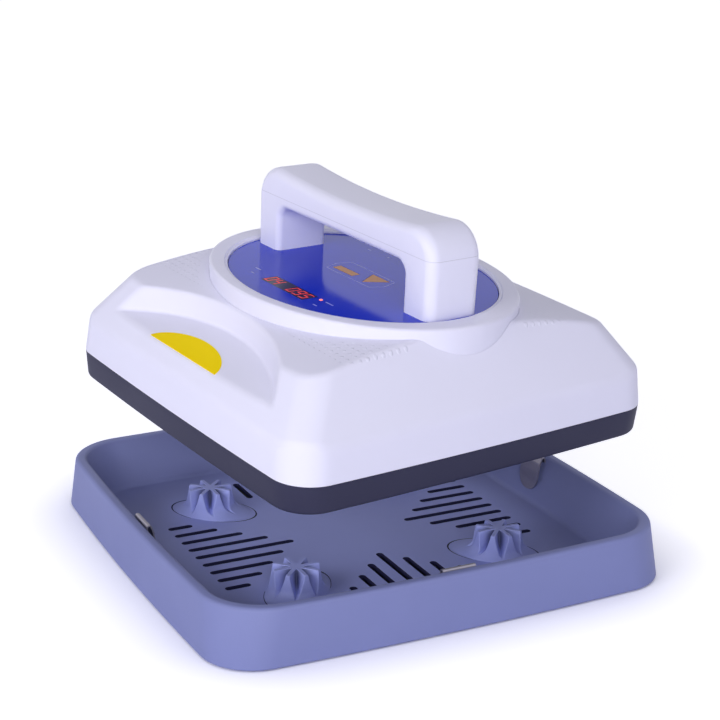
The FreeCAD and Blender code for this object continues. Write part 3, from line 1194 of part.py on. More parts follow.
def power_board():
    finish(panel("power_board", "power_half_x", "power_half_y", (boardUnder, boardOver), "",
                 [("small_screw + screw_play", powerPoints)], ("0", "power_y")), "power_board", pressPose)
    spacers = []
    screws = []
    for number, (x, y) in enumerate(powerPoints):
        tube = rod(f"power_spacer_{number}", "board_post", ("pan_thick", boardUnder), x, y)
        hole = rod(f"power_spacer_hole_{number}", "small_screw + screw_play",
                   ("0", f"{boardUnder} + cut_past"), x, y)
        spacers.append(cut(f"power_spacer_cut_{number}", tube, [hole]))
        screws.append(screw(f"power_screw_{number}", x, y, (boardOver, f"{boardOver} + small_head_tall"),
                            ("0", f"{boardOver} + cut_past"), "small_head", "small_screw"))
    finish(group("power_board_spacers", spacers), "power_board_spacers", pressPose)
    finish(group("power_board_screws", screws), "power_board_screws", pressPose)
    front = "power_y - power_half_y"
    finish(block("power_relay", ("-power_half_x + board_edge", "-power_half_x + board_edge + relay_long"),
                 ("power_y - relay_wide / 2", "power_y + relay_wide / 2"),
                 (boardOver, f"{boardOver} + relay_tall")), "power_relay", pressPose)
    finish(block("power_transformer", ("-relay_wide / 2", "transformer_long - relay_wide / 2"),
                 ("power_y - transformer_wide / 2", "power_y + transformer_wide / 2"),
                 (boardOver, f"{boardOver} + transformer_tall")), "power_transformer", pressPose)
    blockTop = f"{boardOver} + block_tall"
    heaterBlock = block("heater_block", centred("2 * block_tall"),
                        (f"{front} + board_thick", f"{front} + board_thick + block_tall"),
                        (boardOver, blockTop))
    back = ("power_y + power_half_y - block_tall", "power_y + power_half_y")
    mainsBlock = block("mains_block", ("gland_x - 3 * block_tall", "gland_x - block_tall"), back,
                       (boardOver, blockTop))
    switchBlock = block("switch_block", ("switch_x + block_tall", "switch_x + 3 * block_tall"), back,
                        (boardOver, blockTop))
    finish(group("terminal_blocks", [heaterBlock, mainsBlock, switchBlock]), "terminal_blocks", pressPose)


def heat_sensors():
    """A heat sensor and a thermal fuse lie on the clamp sheet; their wires rise to the control board."""
    wires = []
    for side, name in ((-1, "heat_sensor"), (1, "thermal_fuse")):
        x = f"{side} * sensor_x"
        lying = doc.addObject("Part::Cylinder", name + "_rod")
        bind(lying, Radius="sensor_radius", Height="sensor_long", base_x=x,
             base_y="wire_y + sensor_long / 2", base_z=f"{clampHigh} + sensor_radius")
        lying.Placement.Rotation = Rotation(Vector(1, 0, 0), 90)
        finish(lying, name, pressPose)
        wires.append(rod(name + "_wire", "wire_radius / 2",
                         (f"{clampHigh} + 2 * sensor_radius + pin_play", boardLow), x, "wire_y"))
    finish(group("sensor_leads", wires), "sensor_leads", pressPose)


def heater_leads():
    """Each wire leaves its terminal forwards, bends down through the pan and meets the heating sheet."""
    front = "(power_y - power_half_y + board_thick)"
    height = f"({boardOver} + block_tall / 2)"
    leads = []
    for side in (-1, 1):
        bend = doc.addObject("Part::Torus", f"heater_bend_{side + 1}")
        bind(bend, Radius1="wire_bend", Radius2="wire_radius", base_x=f"{side} * lead_half",
             base_y=front, base_z=f"{height} - wire_bend")
        bend.Angle3 = 90
        bend.Placement.Rotation = Rotation(Vector(0, 0, 1), -90).multiply(Rotation(Vector(1, 0, 0), 90))
        drop = rod(f"heater_drop_{side + 1}", "wire_radius", (heaterHigh, f"{height} - wire_bend"),
                   f"{side} * lead_half", f"{front} - wire_bend")
        leads.append(join(f"heater_lead_{side + 1}", [bend, drop]))
    finish(group("heater_leads", leads), "heater_leads", pressPose)


guard_band()
heating_plate()
heater_layers()
base_pan()
plate_fasteners()
top_cover()
cover_screws()
side_label()
cord_gland()
power_switch()
panel_ring()
panel_carrier()
panel_overlay()
display()
keys()
status_led()
control_board()
motion_sensor()
handle()
support_pillars()
power_board()
heat_sensors()
heater_leads()

# ---- check and write ----

doc.recompute()
broken = [item.Label for item in doc.Objects if {"Invalid", "Error"} & set(item.State)]
assert not broken, f"failed objects: {broken}"
for part in subParts:
    assert not part.Shape.isNull() and part.Shape.isValid() and part.Shape.Solids, part.Label
for part in subParts:
    part.Shape.exportStep(f"parts/{part.Label}.step")
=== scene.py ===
import json
import math

import bmesh
import bpy
import numpy as np
from mathutils import Matrix, Vector
from mathutils.geometry import delaunay_2d_cdt


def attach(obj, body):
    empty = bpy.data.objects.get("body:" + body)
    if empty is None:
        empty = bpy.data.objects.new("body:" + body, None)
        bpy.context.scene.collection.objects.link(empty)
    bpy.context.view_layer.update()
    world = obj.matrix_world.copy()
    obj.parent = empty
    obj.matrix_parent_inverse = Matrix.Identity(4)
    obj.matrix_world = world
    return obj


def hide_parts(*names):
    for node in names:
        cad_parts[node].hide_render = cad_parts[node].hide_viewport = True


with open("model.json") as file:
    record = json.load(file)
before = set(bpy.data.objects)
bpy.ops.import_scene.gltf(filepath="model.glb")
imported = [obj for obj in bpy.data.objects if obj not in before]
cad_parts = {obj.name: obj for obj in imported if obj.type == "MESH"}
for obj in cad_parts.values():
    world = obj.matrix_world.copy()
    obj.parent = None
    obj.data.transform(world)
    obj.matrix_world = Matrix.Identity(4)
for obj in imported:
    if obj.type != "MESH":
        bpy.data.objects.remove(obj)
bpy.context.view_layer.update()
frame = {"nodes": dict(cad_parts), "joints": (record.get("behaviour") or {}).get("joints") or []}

# Plans are in millimetres. The tray's plan is the frame itself; the press is drawn level, with z = 0 at the
# seam between its white cover and dark band, and is then put where its turn joint holds it.
millimetre = 0.001
joints = {joint["name"]: joint for joint in frame["joints"]}
held = {"turn": 9.65, "ballAt": (-33.4, -3.4, 43.5)}  # degrees, and the loose ball's place in the press
pressPose = (Matrix.Translation(Vector(joints["turn"]["pos_m"]))
             @ Matrix.Rotation(math.radians(held["turn"]), 4, Vector(joints["turn"]["axis"]).normalized())
             @ Matrix.Translation(-millimetre * Vector(held["ballAt"])))
trayPose = Matrix.Identity(4)
print("frame loaded")


# Helpers for meshes: loops and rows of points in millimetres become faces that ride a body

def linear(red, green, blue):  # a screen colour of 0 to 255 as a shader colour
    return tuple((channel / 255) ** 2.2 for channel in (red, green, blue)) + (1.0,)


def toWorld(points, pose):  # millimetres in a body's own frame, turned and moved into the scene's metres
    flat = np.asarray(points, float).reshape(-1, 3) * millimetre
    return flat @ np.array(pose.to_3x3()).T + np.array(pose.translation)


def gridFaces(rows, columns, closedRows=False, closedColumns=True):
    # One quad between each point, the next in its row and the two beside them in the next row.
    row, column = np.meshgrid(np.arange(rows - (not closedRows)), np.arange(columns - (not closedColumns)),
                              indexing="ij")
    nextRow, nextColumn = (row + 1) % rows, (column + 1) % columns
    corners = (row * columns + column, row * columns + nextColumn,
               nextRow * columns + nextColumn, nextRow * columns + column)
    return np.stack(corners, -1).reshape(-1, 4)


def endCaps(rows, turned=False):  # the two faces that close the first and the last row of a sweep
    first = list(range(rows.shape[1]))
    last = [(len(rows) - 1) * len(first) + i for i in first]
    return [first[::-1], last] if turned else [first, last[::-1]]


def signedVolume(points, faces):  # the sum of the tetrahedra between the origin and each triangle of a quad
    a, b, c, d = (points[faces[:, corner]] for corner in range(4))
    return (np.einsum("ij,ij->i", a, np.cross(b, c)) + np.einsum("ij,ij->i", a, np.cross(c, d))).sum()


def makePiece(name, rows, pose, body, material, slot, sharp=35.0, caps=(), **closed):
    # Rows of points become quads, which are turned round where their signed volume is below zero.
    world = toWorld(rows, pose)
    faces = gridFaces(*rows.shape[:2], **closed)
    way = -1 if signedVolume(world - world.mean(0), faces) < 0 else 1
    mesh = bpy.data.meshes.new(name)
    mesh.from_pydata(world.tolist(), [], [face[::way] for face in [*faces.tolist(), *caps]])
    return finishMesh(name, mesh, body, material, sharp)


def finishMesh(name, mesh, body, material, sharp=35.0):  # smooth but for edges sharper than the angle
    mesh.validate()
    mesh.polygons.foreach_set("use_smooth", np.ones(len(mesh.polygons), bool))
    mesh.set_sharp_from_angle(angle=math.radians(sharp))
    mesh.materials.append(material)
    piece = bpy.data.objects.new(name, mesh)
    bpy.context.scene.collection.objects.link(piece)
    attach(piece, body)
    return piece


def weldPiece(name, parts, pose, body, material, sharp=35.0, plain=None):
    # One mesh of several sets of points and faces, where points that lie together become one. Sets from
    # number plain on take the second material.
    weld = 2e-6
    mesh = bmesh.new()
    for number, (points, faces) in enumerate(parts):
        made = [mesh.verts.new(point) for point in toWorld(points, pose).tolist()]
        for face in faces.tolist():
            second = plain is not None and number >= plain
            mesh.faces.new([made[i] for i in face]).material_index = int(second)
    bmesh.ops.remove_doubles(mesh, verts=mesh.verts, dist=weld)
    bmesh.ops.recalc_face_normals(mesh, faces=mesh.faces)
    data = bpy.data.meshes.new(name)
    mesh.to_mesh(data)
    mesh.free()
    return finishMesh(name, data, body, material, sharp)


def flatAt(plan, height):  # a plan's points at one height
    return np.column_stack([plan, np.full(len(plan), height)])


def fullTurn(count):  # equal steps once round
    return np.linspace(0, 2 * math.pi, count, endpoint=False)


def ovalAt(turn, long, short):  # half axis times cosine along x, half axis times sine along y
    return np.column_stack([long * np.cos(turn), short * np.sin(turn)])


def runLengths(line):  # how far along the line each of its points lies
    return np.concatenate([[0], np.cumsum(np.linalg.norm(np.diff(line, axis=0), axis=1))])


def pointsAlong(line, at):  # the line's points at these distances along it
    return np.column_stack([np.interp(at, runLengths(line), line[:, axis]) for axis in (0, 1)])


def roundedLine(points, radii, steps=6):
    # Each corner of the line becomes an arc: its ends lie radius / tan(half the angle) along the two runs.
    line = []
    points = np.asarray(points, float)
    for index, (here, radius) in enumerate(zip(points, radii)):
        if radius == 0:
            line.append(here)
            continue
        back = points[index - 1] - here
        ahead = points[(index + 1) % len(points)] - here
        back, ahead = back / np.linalg.norm(back), ahead / np.linalg.norm(ahead)
        half = math.acos(np.clip(back @ ahead, -1, 1)) / 2
        reach = radius / math.tan(half)
        middle = (back + ahead) / np.linalg.norm(back + ahead)
        centre = here + middle * radius / math.sin(half)
        start, end = here + back * reach - centre, here + ahead * reach - centre
        sweep = math.pi - 2 * half
        for share in np.linspace(0, 1, steps + 1):
            mix = (math.sin((1 - share) * sweep) * start + math.sin(share * sweep) * end) / math.sin(sweep)
            line.append(centre + mix)
    return np.array(line)


def bowedArcs(half, corner, bow):
    # A side's arc has the radius (half squared + bow squared) / 2 bow. A corner's centre lies on the
    # diagonal, at bend - corner from the centres of both sides' arcs, and a side's arc ends at the lean from
    # its own middle.
    bend = (half ** 2 + bow ** 2) / (2 * bow)
    back = bend - half
    centre = (np.sqrt(back ** 2 - 2 * (back ** 2 - (bend - corner) ** 2)) - back) / 2
    return bend, back, centre, np.arctan2(centre, centre + back)


def bowedOutline(half, corner, bow, sideCount=24, cornerCount=14):
    # Four wide arcs that bow out, joined by corner arcs that touch them; half and corner are columns.
    half, corner = half[:, None], corner[:, None]
    bend, back, centre, lean = bowedArcs(half, corner, bow)
    side = lean * np.linspace(-1, 1, sideCount, endpoint=False)
    turn = lean + (math.pi / 2 - 2 * lean) * np.linspace(0, 1, cornerCount, endpoint=False)
    x = np.concatenate([bend * np.sin(side), centre + corner * np.sin(turn)], 1)
    y = np.concatenate([bend * np.cos(side) - back, centre + corner * np.cos(turn)], 1)
    return np.stack([np.concatenate([x, y, -x, -y], 1), np.concatenate([y, -x, -y, x], 1)], -1)


def squareSweep(profile, bow, **counts):
    # The profile's rows are half width, height and corner radius; each row is one bowed outline.
    outline = bowedOutline(profile[:, 0], profile[:, 2], bow, **counts)
    height = np.broadcast_to(profile[:, 1, None, None], outline.shape[:2] + (1,))
    return np.concatenate([outline, height], -1)


def ovalSweep(profile, outer, inner, count):
    # The profile's rows are a share of the way from the outer to the inner ellipse and a height.
    turn = fullTurn(count)
    share = profile[:, :1]
    x = (outer[0] + share * (inner[0] - outer[0])) * np.cos(turn)
    y = (outer[1] + share * (inner[1] - outer[1])) * np.sin(turn)
    return np.stack([x, y, np.broadcast_to(profile[:, 1:2], x.shape)], -1)


# Helpers for materials: most add one node to a tree and return the socket that carries its result

def feed(tree, node, inputs):  # each input, by its name or number, takes a value or the socket that feeds it
    for key, value in inputs.items():
        if isinstance(value, bpy.types.NodeSocket):
            tree.links.new(value, node.inputs[key])
        else:
            node.inputs[key].default_value = value
    return node


def addNode(tree, kind, inputs, **settings):  # a new node, with its settings made before it is fed
    node = tree.nodes.new("ShaderNode" + kind)
    for key, value in settings.items():
        setattr(node, key, value)
    return feed(tree, node, inputs)


def objectPlace(tree):  # Object coordinates, in metres
    return addNode(tree, "TexCoord", {}).outputs["Object"]


def pressPlace(tree):  # Object coordinates brought into the press's own level frame, in metres
    back = pressPose.inverted()
    level = {"Vector": objectPlace(tree), "Location": back.translation, "Rotation": back.to_euler("XYZ")}
    return addNode(tree, "Mapping", level).outputs["Vector"]


def heightOf(tree, place):  # a place's z
    return addNode(tree, "SeparateXYZ", {"Vector": place}).outputs["Z"]


def mathOf(tree, operation, *inputs):  # an operation on numbers
    return addNode(tree, "Math", dict(enumerate(inputs)), operation=operation).outputs["Value"]


def vectorOf(tree, operation, *inputs):  # an operation on places
    return addNode(tree, "VectorMath", dict(enumerate(inputs)), operation=operation).outputs["Vector"]


def lengthOf(tree, place):  # the root of a place's squared x, y and z
    return addNode(tree, "VectorMath", {0: place}, operation="LENGTH").outputs["Value"]


def noise(tree, place, scale, detail):  # clouds of 0 to 1, smaller with a larger scale
    return addNode(tree, "TexNoise", {"Vector": place, "Scale": scale, "Detail": detail}).outputs["Fac"]


def spread(tree, value, low, high):  # low where the value is 0, high where it is 1
    return addNode(tree, "MapRange", {"Value": value, "To Min": low, "To Max": high}).outputs["Result"]


def eased(tree, value, start, end, low, high):  # low up to the start, high from the end on, smooth between
    span = {"Value": value, "From Min": start, "From Max": end, "To Min": low, "To Max": high}
    return addNode(tree, "MapRange", span, interpolation_type="SMOOTHSTEP").outputs["Result"]


def mixed(tree, share, first, second):  # first colour at 0, second at 1
    sides = {"Factor": share, "A": first, "B": second}
    return addNode(tree, "Mix", sides, data_type="RGBA").outputs["Result"]


def raised(tree, height, strength, depth, **normal):  # a bump on the surface, or on the normal given
    bump = {"Height": height, "Strength": strength, "Distance": depth, **normal}
    return addNode(tree, "Bump", bump).outputs["Normal"]


def darker(colour, share):  # the colour's channels times the share
    return tuple(channel * share for channel in colour[:3]) + (1.0,)


def newMaterial(name):  # a material, its tree and its shader
    material = bpy.data.materials.new(name)
    material.use_nodes = True
    return material, material.node_tree, material.node_tree.nodes["Principled BSDF"]


def shaderOf(material):  # a finished material's tree and shader, and what feeds its colour and normal
    shader = material.node_tree.nodes["Principled BSDF"]
    feeds = {name: shader.inputs[name].links[0].from_socket for name in ("Base Color", "Normal")}
    return material.node_tree, shader, feeds


moulding = {"cloud": 22.0, "cloudDetail": 3.0, "grainDetail": 2.0, "gloss": 0.05, "depth": 0.0004}
rolling = {"streak": 3.0, "detail": 4.0, "glossier": 0.08, "duller": 0.12, "dark": 0.85, "depth": 0.0002}


def mouldedPlastic(name, colour, roughness=0.4, grain=1400.0, bump=0.05, shift=0.06, specular=0.5):
    # Colour and gloss wander a little over centimetres; the moulded grain is a fine noise in the bump.
    material, tree, shader = newMaterial(name)
    place = objectPlace(tree)
    cloud = noise(tree, place, moulding["cloud"], moulding["cloudDetail"])
    fine = noise(tree, place, grain, moulding["grainDetail"])
    least, most = roughness - moulding["gloss"], roughness + moulding["gloss"]
    feed(tree, shader, {"Base Color": mixed(tree, cloud, colour, darker(colour, 1 - shift)),
                        "Roughness": spread(tree, cloud, least, most),
                        "Normal": raised(tree, fine, bump, moulding["depth"]),
                        "Specular IOR Level": specular})
    return material


def metal(name, colour, roughness=0.3, grain=(40.0, 40.0, 900.0), bump=0.08):
    # Streaks, finest along the grain's largest figure, show in the colour, the gloss and the bump.
    material, tree, shader = newMaterial(name)
    drawn = addNode(tree, "Mapping", {"Vector": objectPlace(tree), "Scale": grain}).outputs["Vector"]
    streak = noise(tree, drawn, rolling["streak"], rolling["detail"])
    least, most = roughness - rolling["glossier"], roughness + rolling["duller"]
    feed(tree, shader, {"Base Color": mixed(tree, streak, colour, darker(colour, rolling["dark"])),
                        "Roughness": spread(tree, streak, least, most),
                        "Normal": raised(tree, streak, bump, rolling["depth"]), "Metallic": 1.0})
    return material


def glowing(name, colour, strength):  # one colour, which also shines by the strength
    material, tree, shader = newMaterial(name)
    feed(tree, shader, {"Base Color": colour, "Emission Color": colour, "Emission Strength": strength,
                        "Roughness": 0.4})
    return material


def scaled(material, factor):  # the base colour times a factor
    tree, shader, feeds = shaderOf(material)
    times = addNode(tree, "VectorMath", {0: feeds["Base Color"], "Scale": factor}, operation="SCALE")
    feed(tree, shader, {"Base Color": times.outputs["Vector"]})
    return material


# Painted light: the tray's colour times most within near metres of its middle, easing back to its own by far.
paintedFloorLight = {"near": 0.085, "far": 0.135, "most": 1.9}


def trayMade(name):
    # The tray's matt plastic is painted paler within the far distance, in metres, from its middle: painted
    # light.
    material = mouldedPlastic(name, linear(124, 131, 183), roughness=0.6, grain=900.0, bump=0.12, shift=0.08)
    tree = material.node_tree
    away = lengthOf(tree, vectorOf(tree, "MULTIPLY", objectPlace(tree), (1, 1, 0)))
    return scaled(material, eased(tree, away, paintedFloorLight["near"], paintedFloorLight["far"], paintedFloorLight["most"], 1.0))


coverWhite = linear(231, 230, 249)
finishes = {
    "white": mouldedPlastic("whiteCover", coverWhite, roughness=0.45, bump=0.02, shift=0.015, specular=0.35),
    "dark": mouldedPlastic("darkBand", linear(44, 44, 68), roughness=0.6, bump=0.06, specular=0.3),
    "tray": trayMade("trayPlastic"),
    "panel": mouldedPlastic("panelBlue", linear(26, 54, 204), roughness=0.1, bump=0.0, shift=0.1,
                            specular=0.15),
    "orange": mouldedPlastic("keyOrange", linear(202, 122, 34), roughness=0.3, bump=0.02, specular=0.3),
    "yellow": mouldedPlastic("labelYellow", linear(255, 222, 14), roughness=0.6, bump=0.01, shift=0.02,
                             specular=0.05),
    "black": mouldedPlastic("blackParts", linear(24, 24, 28), roughness=0.4, bump=0.06),
    "green": mouldedPlastic("circuitGreen", linear(24, 92, 52), roughness=0.35, grain=500.0, bump=0.05,
                            shift=0.25),
    "grey": mouldedPlastic("componentGrey", linear(120, 120, 124), roughness=0.5),
    "amber": mouldedPlastic("heaterFoil", linear(176, 110, 34), roughness=0.4, grain=300.0, bump=0.1,
                            shift=0.3),
    "cream": mouldedPlastic("blanketFibre", linear(232, 228, 214), roughness=0.9, grain=500.0, bump=0.6,
                            shift=0.12),
    "wire": mouldedPlastic("wireRed", linear(170, 32, 28), roughness=0.5, bump=0.05),
    # A dark navy that is painted shade: on the walls of the tray's slots and in the slits round the posts.
    "shade": mouldedPlastic("paintedShadeNavy", linear(40, 40, 72), roughness=0.8, bump=0.0, specular=0.2),
    "steel": metal("springSteel", linear(160, 156, 172), roughness=0.42, bump=0.02),
    "zinc": metal("zincSteel", linear(200, 200, 204), roughness=0.35, grain=(300.0, 300.0, 300.0)),
    "plate": metal("coatedPlate", linear(92, 90, 96), roughness=0.5, grain=(200.0, 200.0, 200.0), bump=0.12),
    "brass": metal("turnedBrass", linear(206, 168, 92), roughness=0.3, grain=(30.0, 30.0, 1500.0)),
    "glass": mouldedPlastic("displayGlass", linear(22, 24, 34), roughness=0.12, bump=0.0, shift=0.0,
                            specular=0.25),
    "digits": glowing("redDigits", linear(206, 44, 34), 0.5),
    "led": glowing("statusLight", linear(255, 120, 104), 0.8),
    "ink": mouldedPlastic("panelInk", linear(150, 156, 226), roughness=0.3, bump=0.0, shift=0.02,
                          specular=0.2),
}
print("materials made")


# Signed distances, in arrays: below zero is inside

def bowedSquare(x, y, half, corner, bow):
    # Two crossing pairs of wide arcs; where a corner arc runs between them its own circle counts.
    x, y = np.abs(x), np.abs(y)
    bend, back, centre, lean = bowedArcs(half, corner, bow)
    side = np.maximum(np.hypot(x, y + back), np.hypot(x + back, y)) - bend
    turn = np.arctan2(x - centre, y - centre)
    atCorner = (turn > lean) & (turn < math.pi / 2 - lean)
    return np.where(atCorner, np.hypot(x - centre, y - centre) - corner, side)


def common(first, second, radius):  # the larger distance, with an arc where the two meet
    arc = np.hypot(np.maximum(radius + first, 0), np.maximum(radius + second, 0))
    return np.minimum(-radius, np.maximum(first, second)) + arc


def halved(inside, low, high, rounds=40):  # the last value inside, between low inside and high outside
    for _ in range(rounds):
        middle = (low + high) / 2
        within = inside(middle)
        low, high = np.where(within, middle, low), np.where(within, high, middle)
    return low


# The white cover: rays from a point inside it, followed to its outer face

cover = {
    "half": 124.0, "corner": 22.0, "bow": 2.2, "lean": 2.0, "wallHeight": 20.8,
    "facetRise": 1.45, "facetCorner": 16.0, "facetBow": 4.0, "crownTop": 58.0, "crownRadius": 415.0,
    "crownFront": 0.93, "scoopRadius": 145.0, "scoopDepth": 86.0, "scoopStart": 115.3, "scoopHeight": 30.3,
    "scoopTilt": 13.0, "scoopDraft": 12.0, "creaseSoft": 1.5, "crownSoft": 1.6, "scoopSoft": 1.6,
    "floorSoft": 1.0, "wall": 2.5, "shelf": 36.0, "shelfReach": 7.5, "columns": 640, "crowding": 0.42,
    "rows": 112, "innerRows": 14, "lowest": 20.0, "highest": 70.0, "farthest": 200.0,
}
ring = {"long": 104.5, "short": 80.0, "top": 62.0, "fit": 0.15, "innerLong": 89.2, "innerShort": 71.2,
        "foot": 36.1, "seat": 57.6, "lip": 61.2, "width": 12.0,
        "reaches": {"leg": 3.0, "crest": 9.6, "lip": 10.3, "end": 11.8},
        "edges": (0.4, 2.0, 0.5, 0.4, 0.5, 0.2, 1.0, 0.3), "columns": 240}
dots = {"pitch": 4.8, "outer": 0.26, "inner": 0.14, "height": 0.45, "strength": 0.6, "above": 51.5,
        "clear": 6.0}


def coverDistance(x, y, z):
    # The upright walls, sloping faces and crown are met in turn; the scoop is the room above a tilted floor
    # and inside a cone, and is taken away.
    size = cover
    upright = size["half"] - size["lean"] * z / size["wallHeight"]
    walls = bowedSquare(x, y, upright, size["corner"], size["bow"])
    slant = size["facetRise"] / math.hypot(1, size["facetRise"])
    crease = size["half"] - size["lean"] + size["wallHeight"] / size["facetRise"]
    facets = bowedSquare(x, y, crease - z / size["facetRise"], size["facetCorner"], size["facetBow"]) * slant
    flatter = np.where(y < 0, size["crownFront"], 1.0) * y
    crown = np.hypot(flatter, z - size["crownTop"] + size["crownRadius"]) - size["crownRadius"]
    form = common(common(walls, facets, size["creaseSoft"]), crown, size["crownSoft"])
    tilt, draft = math.radians(size["scoopTilt"]), math.radians(size["scoopDraft"])
    above = (z - size["scoopHeight"]) * math.cos(tilt) - (y + size["scoopStart"]) * math.sin(tilt)
    reach = size["scoopRadius"] + (z - size["scoopHeight"]) * math.tan(draft)
    within = (reach - np.hypot(x, y + size["scoopDepth"] + size["scoopRadius"])) * math.cos(draft)
    return common(form, -common(-above, -within, size["floorSoft"]), size["scoopSoft"])


def coverRays(turn, shares, level, top):
    # Each ray climbs by its share of its column's top angle and runs to where the distance equals the level.
    climb = shares[:, None] * top
    turn = np.broadcast_to(turn, climb.shape)
    way = np.stack([np.cos(climb) * np.cos(turn), np.cos(climb) * np.sin(turn), np.sin(climb)], -1)

    def inside(reach):  # whether the ray's point at this reach is still below the level
        return coverDistance(*np.moveaxis(way * reach[..., None], -1, 0)) < level

    return way * halved(inside, np.zeros(climb.shape), np.full(climb.shape, cover["farthest"]))[..., None]


def buildCover():
    # The turn's steps are shorter by the front scoop, and rows climb in equal steps to the ring's ellipse.
    # Inside it the cover drops to a shelf, whose mouth is a smaller ellipse, and its inner face lies a wall's
    # width in.
    size, axes = cover, np.array([ring["long"], ring["short"]])
    even = fullTurn(size["columns"])
    edge = ovalAt(even - size["crowding"] * np.cos(even), *(axes + ring["fit"]))
    low, high = (np.full(len(edge), size[key]) for key in ("lowest", "highest"))
    top = halved(lambda height: coverDistance(*edge.T, height) < 0, low, high)
    turn = np.arctan2(edge[:, 1], edge[:, 0])
    outer = coverRays(turn, np.linspace(0, 1, size["rows"]), 0.0, np.arctan2(top, np.hypot(*edge.T)))
    way = edge / axes
    mouth = way / np.linalg.norm(way, axis=1, keepdims=True) * (axes - size["shelfReach"])
    under = flatAt(mouth, size["shelf"] - 2 * size["wall"])
    lowTop = np.arctan2(under[:, 2], np.hypot(under[:, 0], under[:, 1]))
    inner = coverRays(turn, np.linspace(1, 0, size["innerRows"]), -size["wall"], lowTop)
    rows = np.concatenate([outer, [flatAt(edge, size["shelf"]), flatAt(mouth, size["shelf"]), under], inner])
    piece = makePiece("cover_shell", rows, pressPose, "press", finishes["cover"], "white_plastic", sharp=40,
                      closedRows=True)
    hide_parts("top_cover")
    print("cover made", len(piece.data.polygons))


def dotted(material):
    # Low dots on a square grid of the press's own x and y, highest in the middle of each cell. They stand
    # only outside an ellipse clear of the ring, and only above a height, which is on the crown.
    tree, shader, feeds = shaderOf(material)
    place = pressPlace(tree)
    pitch = dots["pitch"] * millimetre
    cell = vectorOf(tree, "FRACTION", vectorOf(tree, "MULTIPLY", place, (1 / pitch, 1 / pitch, 0)))
    away = lengthOf(tree, vectorOf(tree, "SUBTRACT", cell, (0.5, 0.5, 0)))
    dot = eased(tree, away, dots["outer"], dots["inner"], 0.0, 1.0)
    long, short = ((ring[key] + dots["clear"]) * millimetre for key in ("long", "short"))
    far = lengthOf(tree, vectorOf(tree, "MULTIPLY", place, (1 / long, 1 / short, 0)))
    outside = mathOf(tree, "GREATER_THAN", far, 1.0)
    high = mathOf(tree, "GREATER_THAN", heightOf(tree, place), dots["above"] * millimetre)
    shown = mathOf(tree, "MULTIPLY", mathOf(tree, "MULTIPLY", outside, high), dot)
    feed(tree, shader, {"Normal": raised(tree, shown, dots["strength"], dots["height"] * millimetre,
                                         Normal=feeds["Normal"])})
    return material


finishes["cover"] = dotted(mouldedPlastic("whiteCoverDotted", coverWhite, roughness=0.5, bump=0.02,
                                          shift=0.015, specular=0.3))
buildCover()


# Panel ring, guard band and tray: rounded profiles swept round their plans

def buildRing():
    # Up the outside, over a rounded top, down a small step to a lip at the panel, then back underneath.
    size, at = ring, ring["reaches"]
    points = [(0, size["foot"]), (0, size["top"]), (at["crest"], size["top"]), (at["lip"], size["lip"]),
              (at["end"], size["lip"]), (at["end"], size["seat"]), (at["leg"], size["seat"]),
              (at["leg"], size["foot"])]
    profile = roundedLine(points, size["edges"]) / (size["width"], 1)
    rows = ovalSweep(profile, (size["long"], size["short"]), (size["innerLong"], size["innerShort"]),
                     size["columns"])
    piece = makePiece("panel_ring_body", rows, pressPose, "press", finishes["white"], "white_plastic",
                      sharp=50, closedRows=True)
    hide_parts("panel_ring")


band = {"half": 124.0, "corner": 22.0, "bow": 2.2, "drop": 16.4, "taper": 1.2, "wall": 3.0, "lip": 2.6,
        "mouth": 115.6, "ledge": 98.0, "seam": 0.15, "edges": (0.5, 2.4, 0.4, 0.4, 0.3, 0.3, 0.3, 0.3),
        "cornerShare": 0.62, "leastCorner": 8.0}


def buildBand():
    # Half widths and heights from the outer top edge down, under the lip, up inside and along the upper
    # ledge. The corner radius shrinks by a share of what the half width loses.
    size = band
    lean = size["taper"] / size["drop"]
    inner = size["half"] - size["wall"]
    points = [(size["half"], -size["seam"]), (size["half"] - size["taper"], -size["drop"]),
              (size["mouth"], -size["drop"]), (size["mouth"], size["lip"] - size["drop"]),
              (inner - lean * size["drop"], size["lip"] - size["drop"]),
              (inner - lean * size["wall"], -size["wall"]), (size["ledge"], -size["wall"]),
              (size["ledge"], -size["seam"])]
    profile = roundedLine(points, size["edges"])
    corner = size["corner"] - size["cornerShare"] * (size["half"] - profile[:, 0])
    rows = squareSweep(np.column_stack([profile, np.maximum(corner, size["leastCorner"])]), size["bow"])
    piece = makePiece("band_body", rows, pressPose, "press", finishes["dark"], "dark_plastic", sharp=40,
                      closedRows=True)
    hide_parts("guard_band")


buildRing()
buildBand()
print("ring and band made")


tray = {"half": 141.0, "corner": 36.0, "bow": 4.0, "height": 32.2, "draft": 2.4, "rim": 6.0, "wellDraft": 9.3,
        "wellCorner": 24.0, "floor": 2.4, "wall": 2.4, "rimEdge": 2.2, "foot": 1.2, "cove": 4.0,
        "footEdge": 0.4, "underEdge": 0.6, "slotWidth": 3.6, "slotPitch": 11.4, "slotOuter": 98.5,
        "slotInner": 37.5, "slotStep": 11.6, "slotSide": 4, "slotEdge": 0.35, "floorHalf": 108.0,
        "floorCorner": 20.0, "sideCount": 32, "cornerCount": 20}


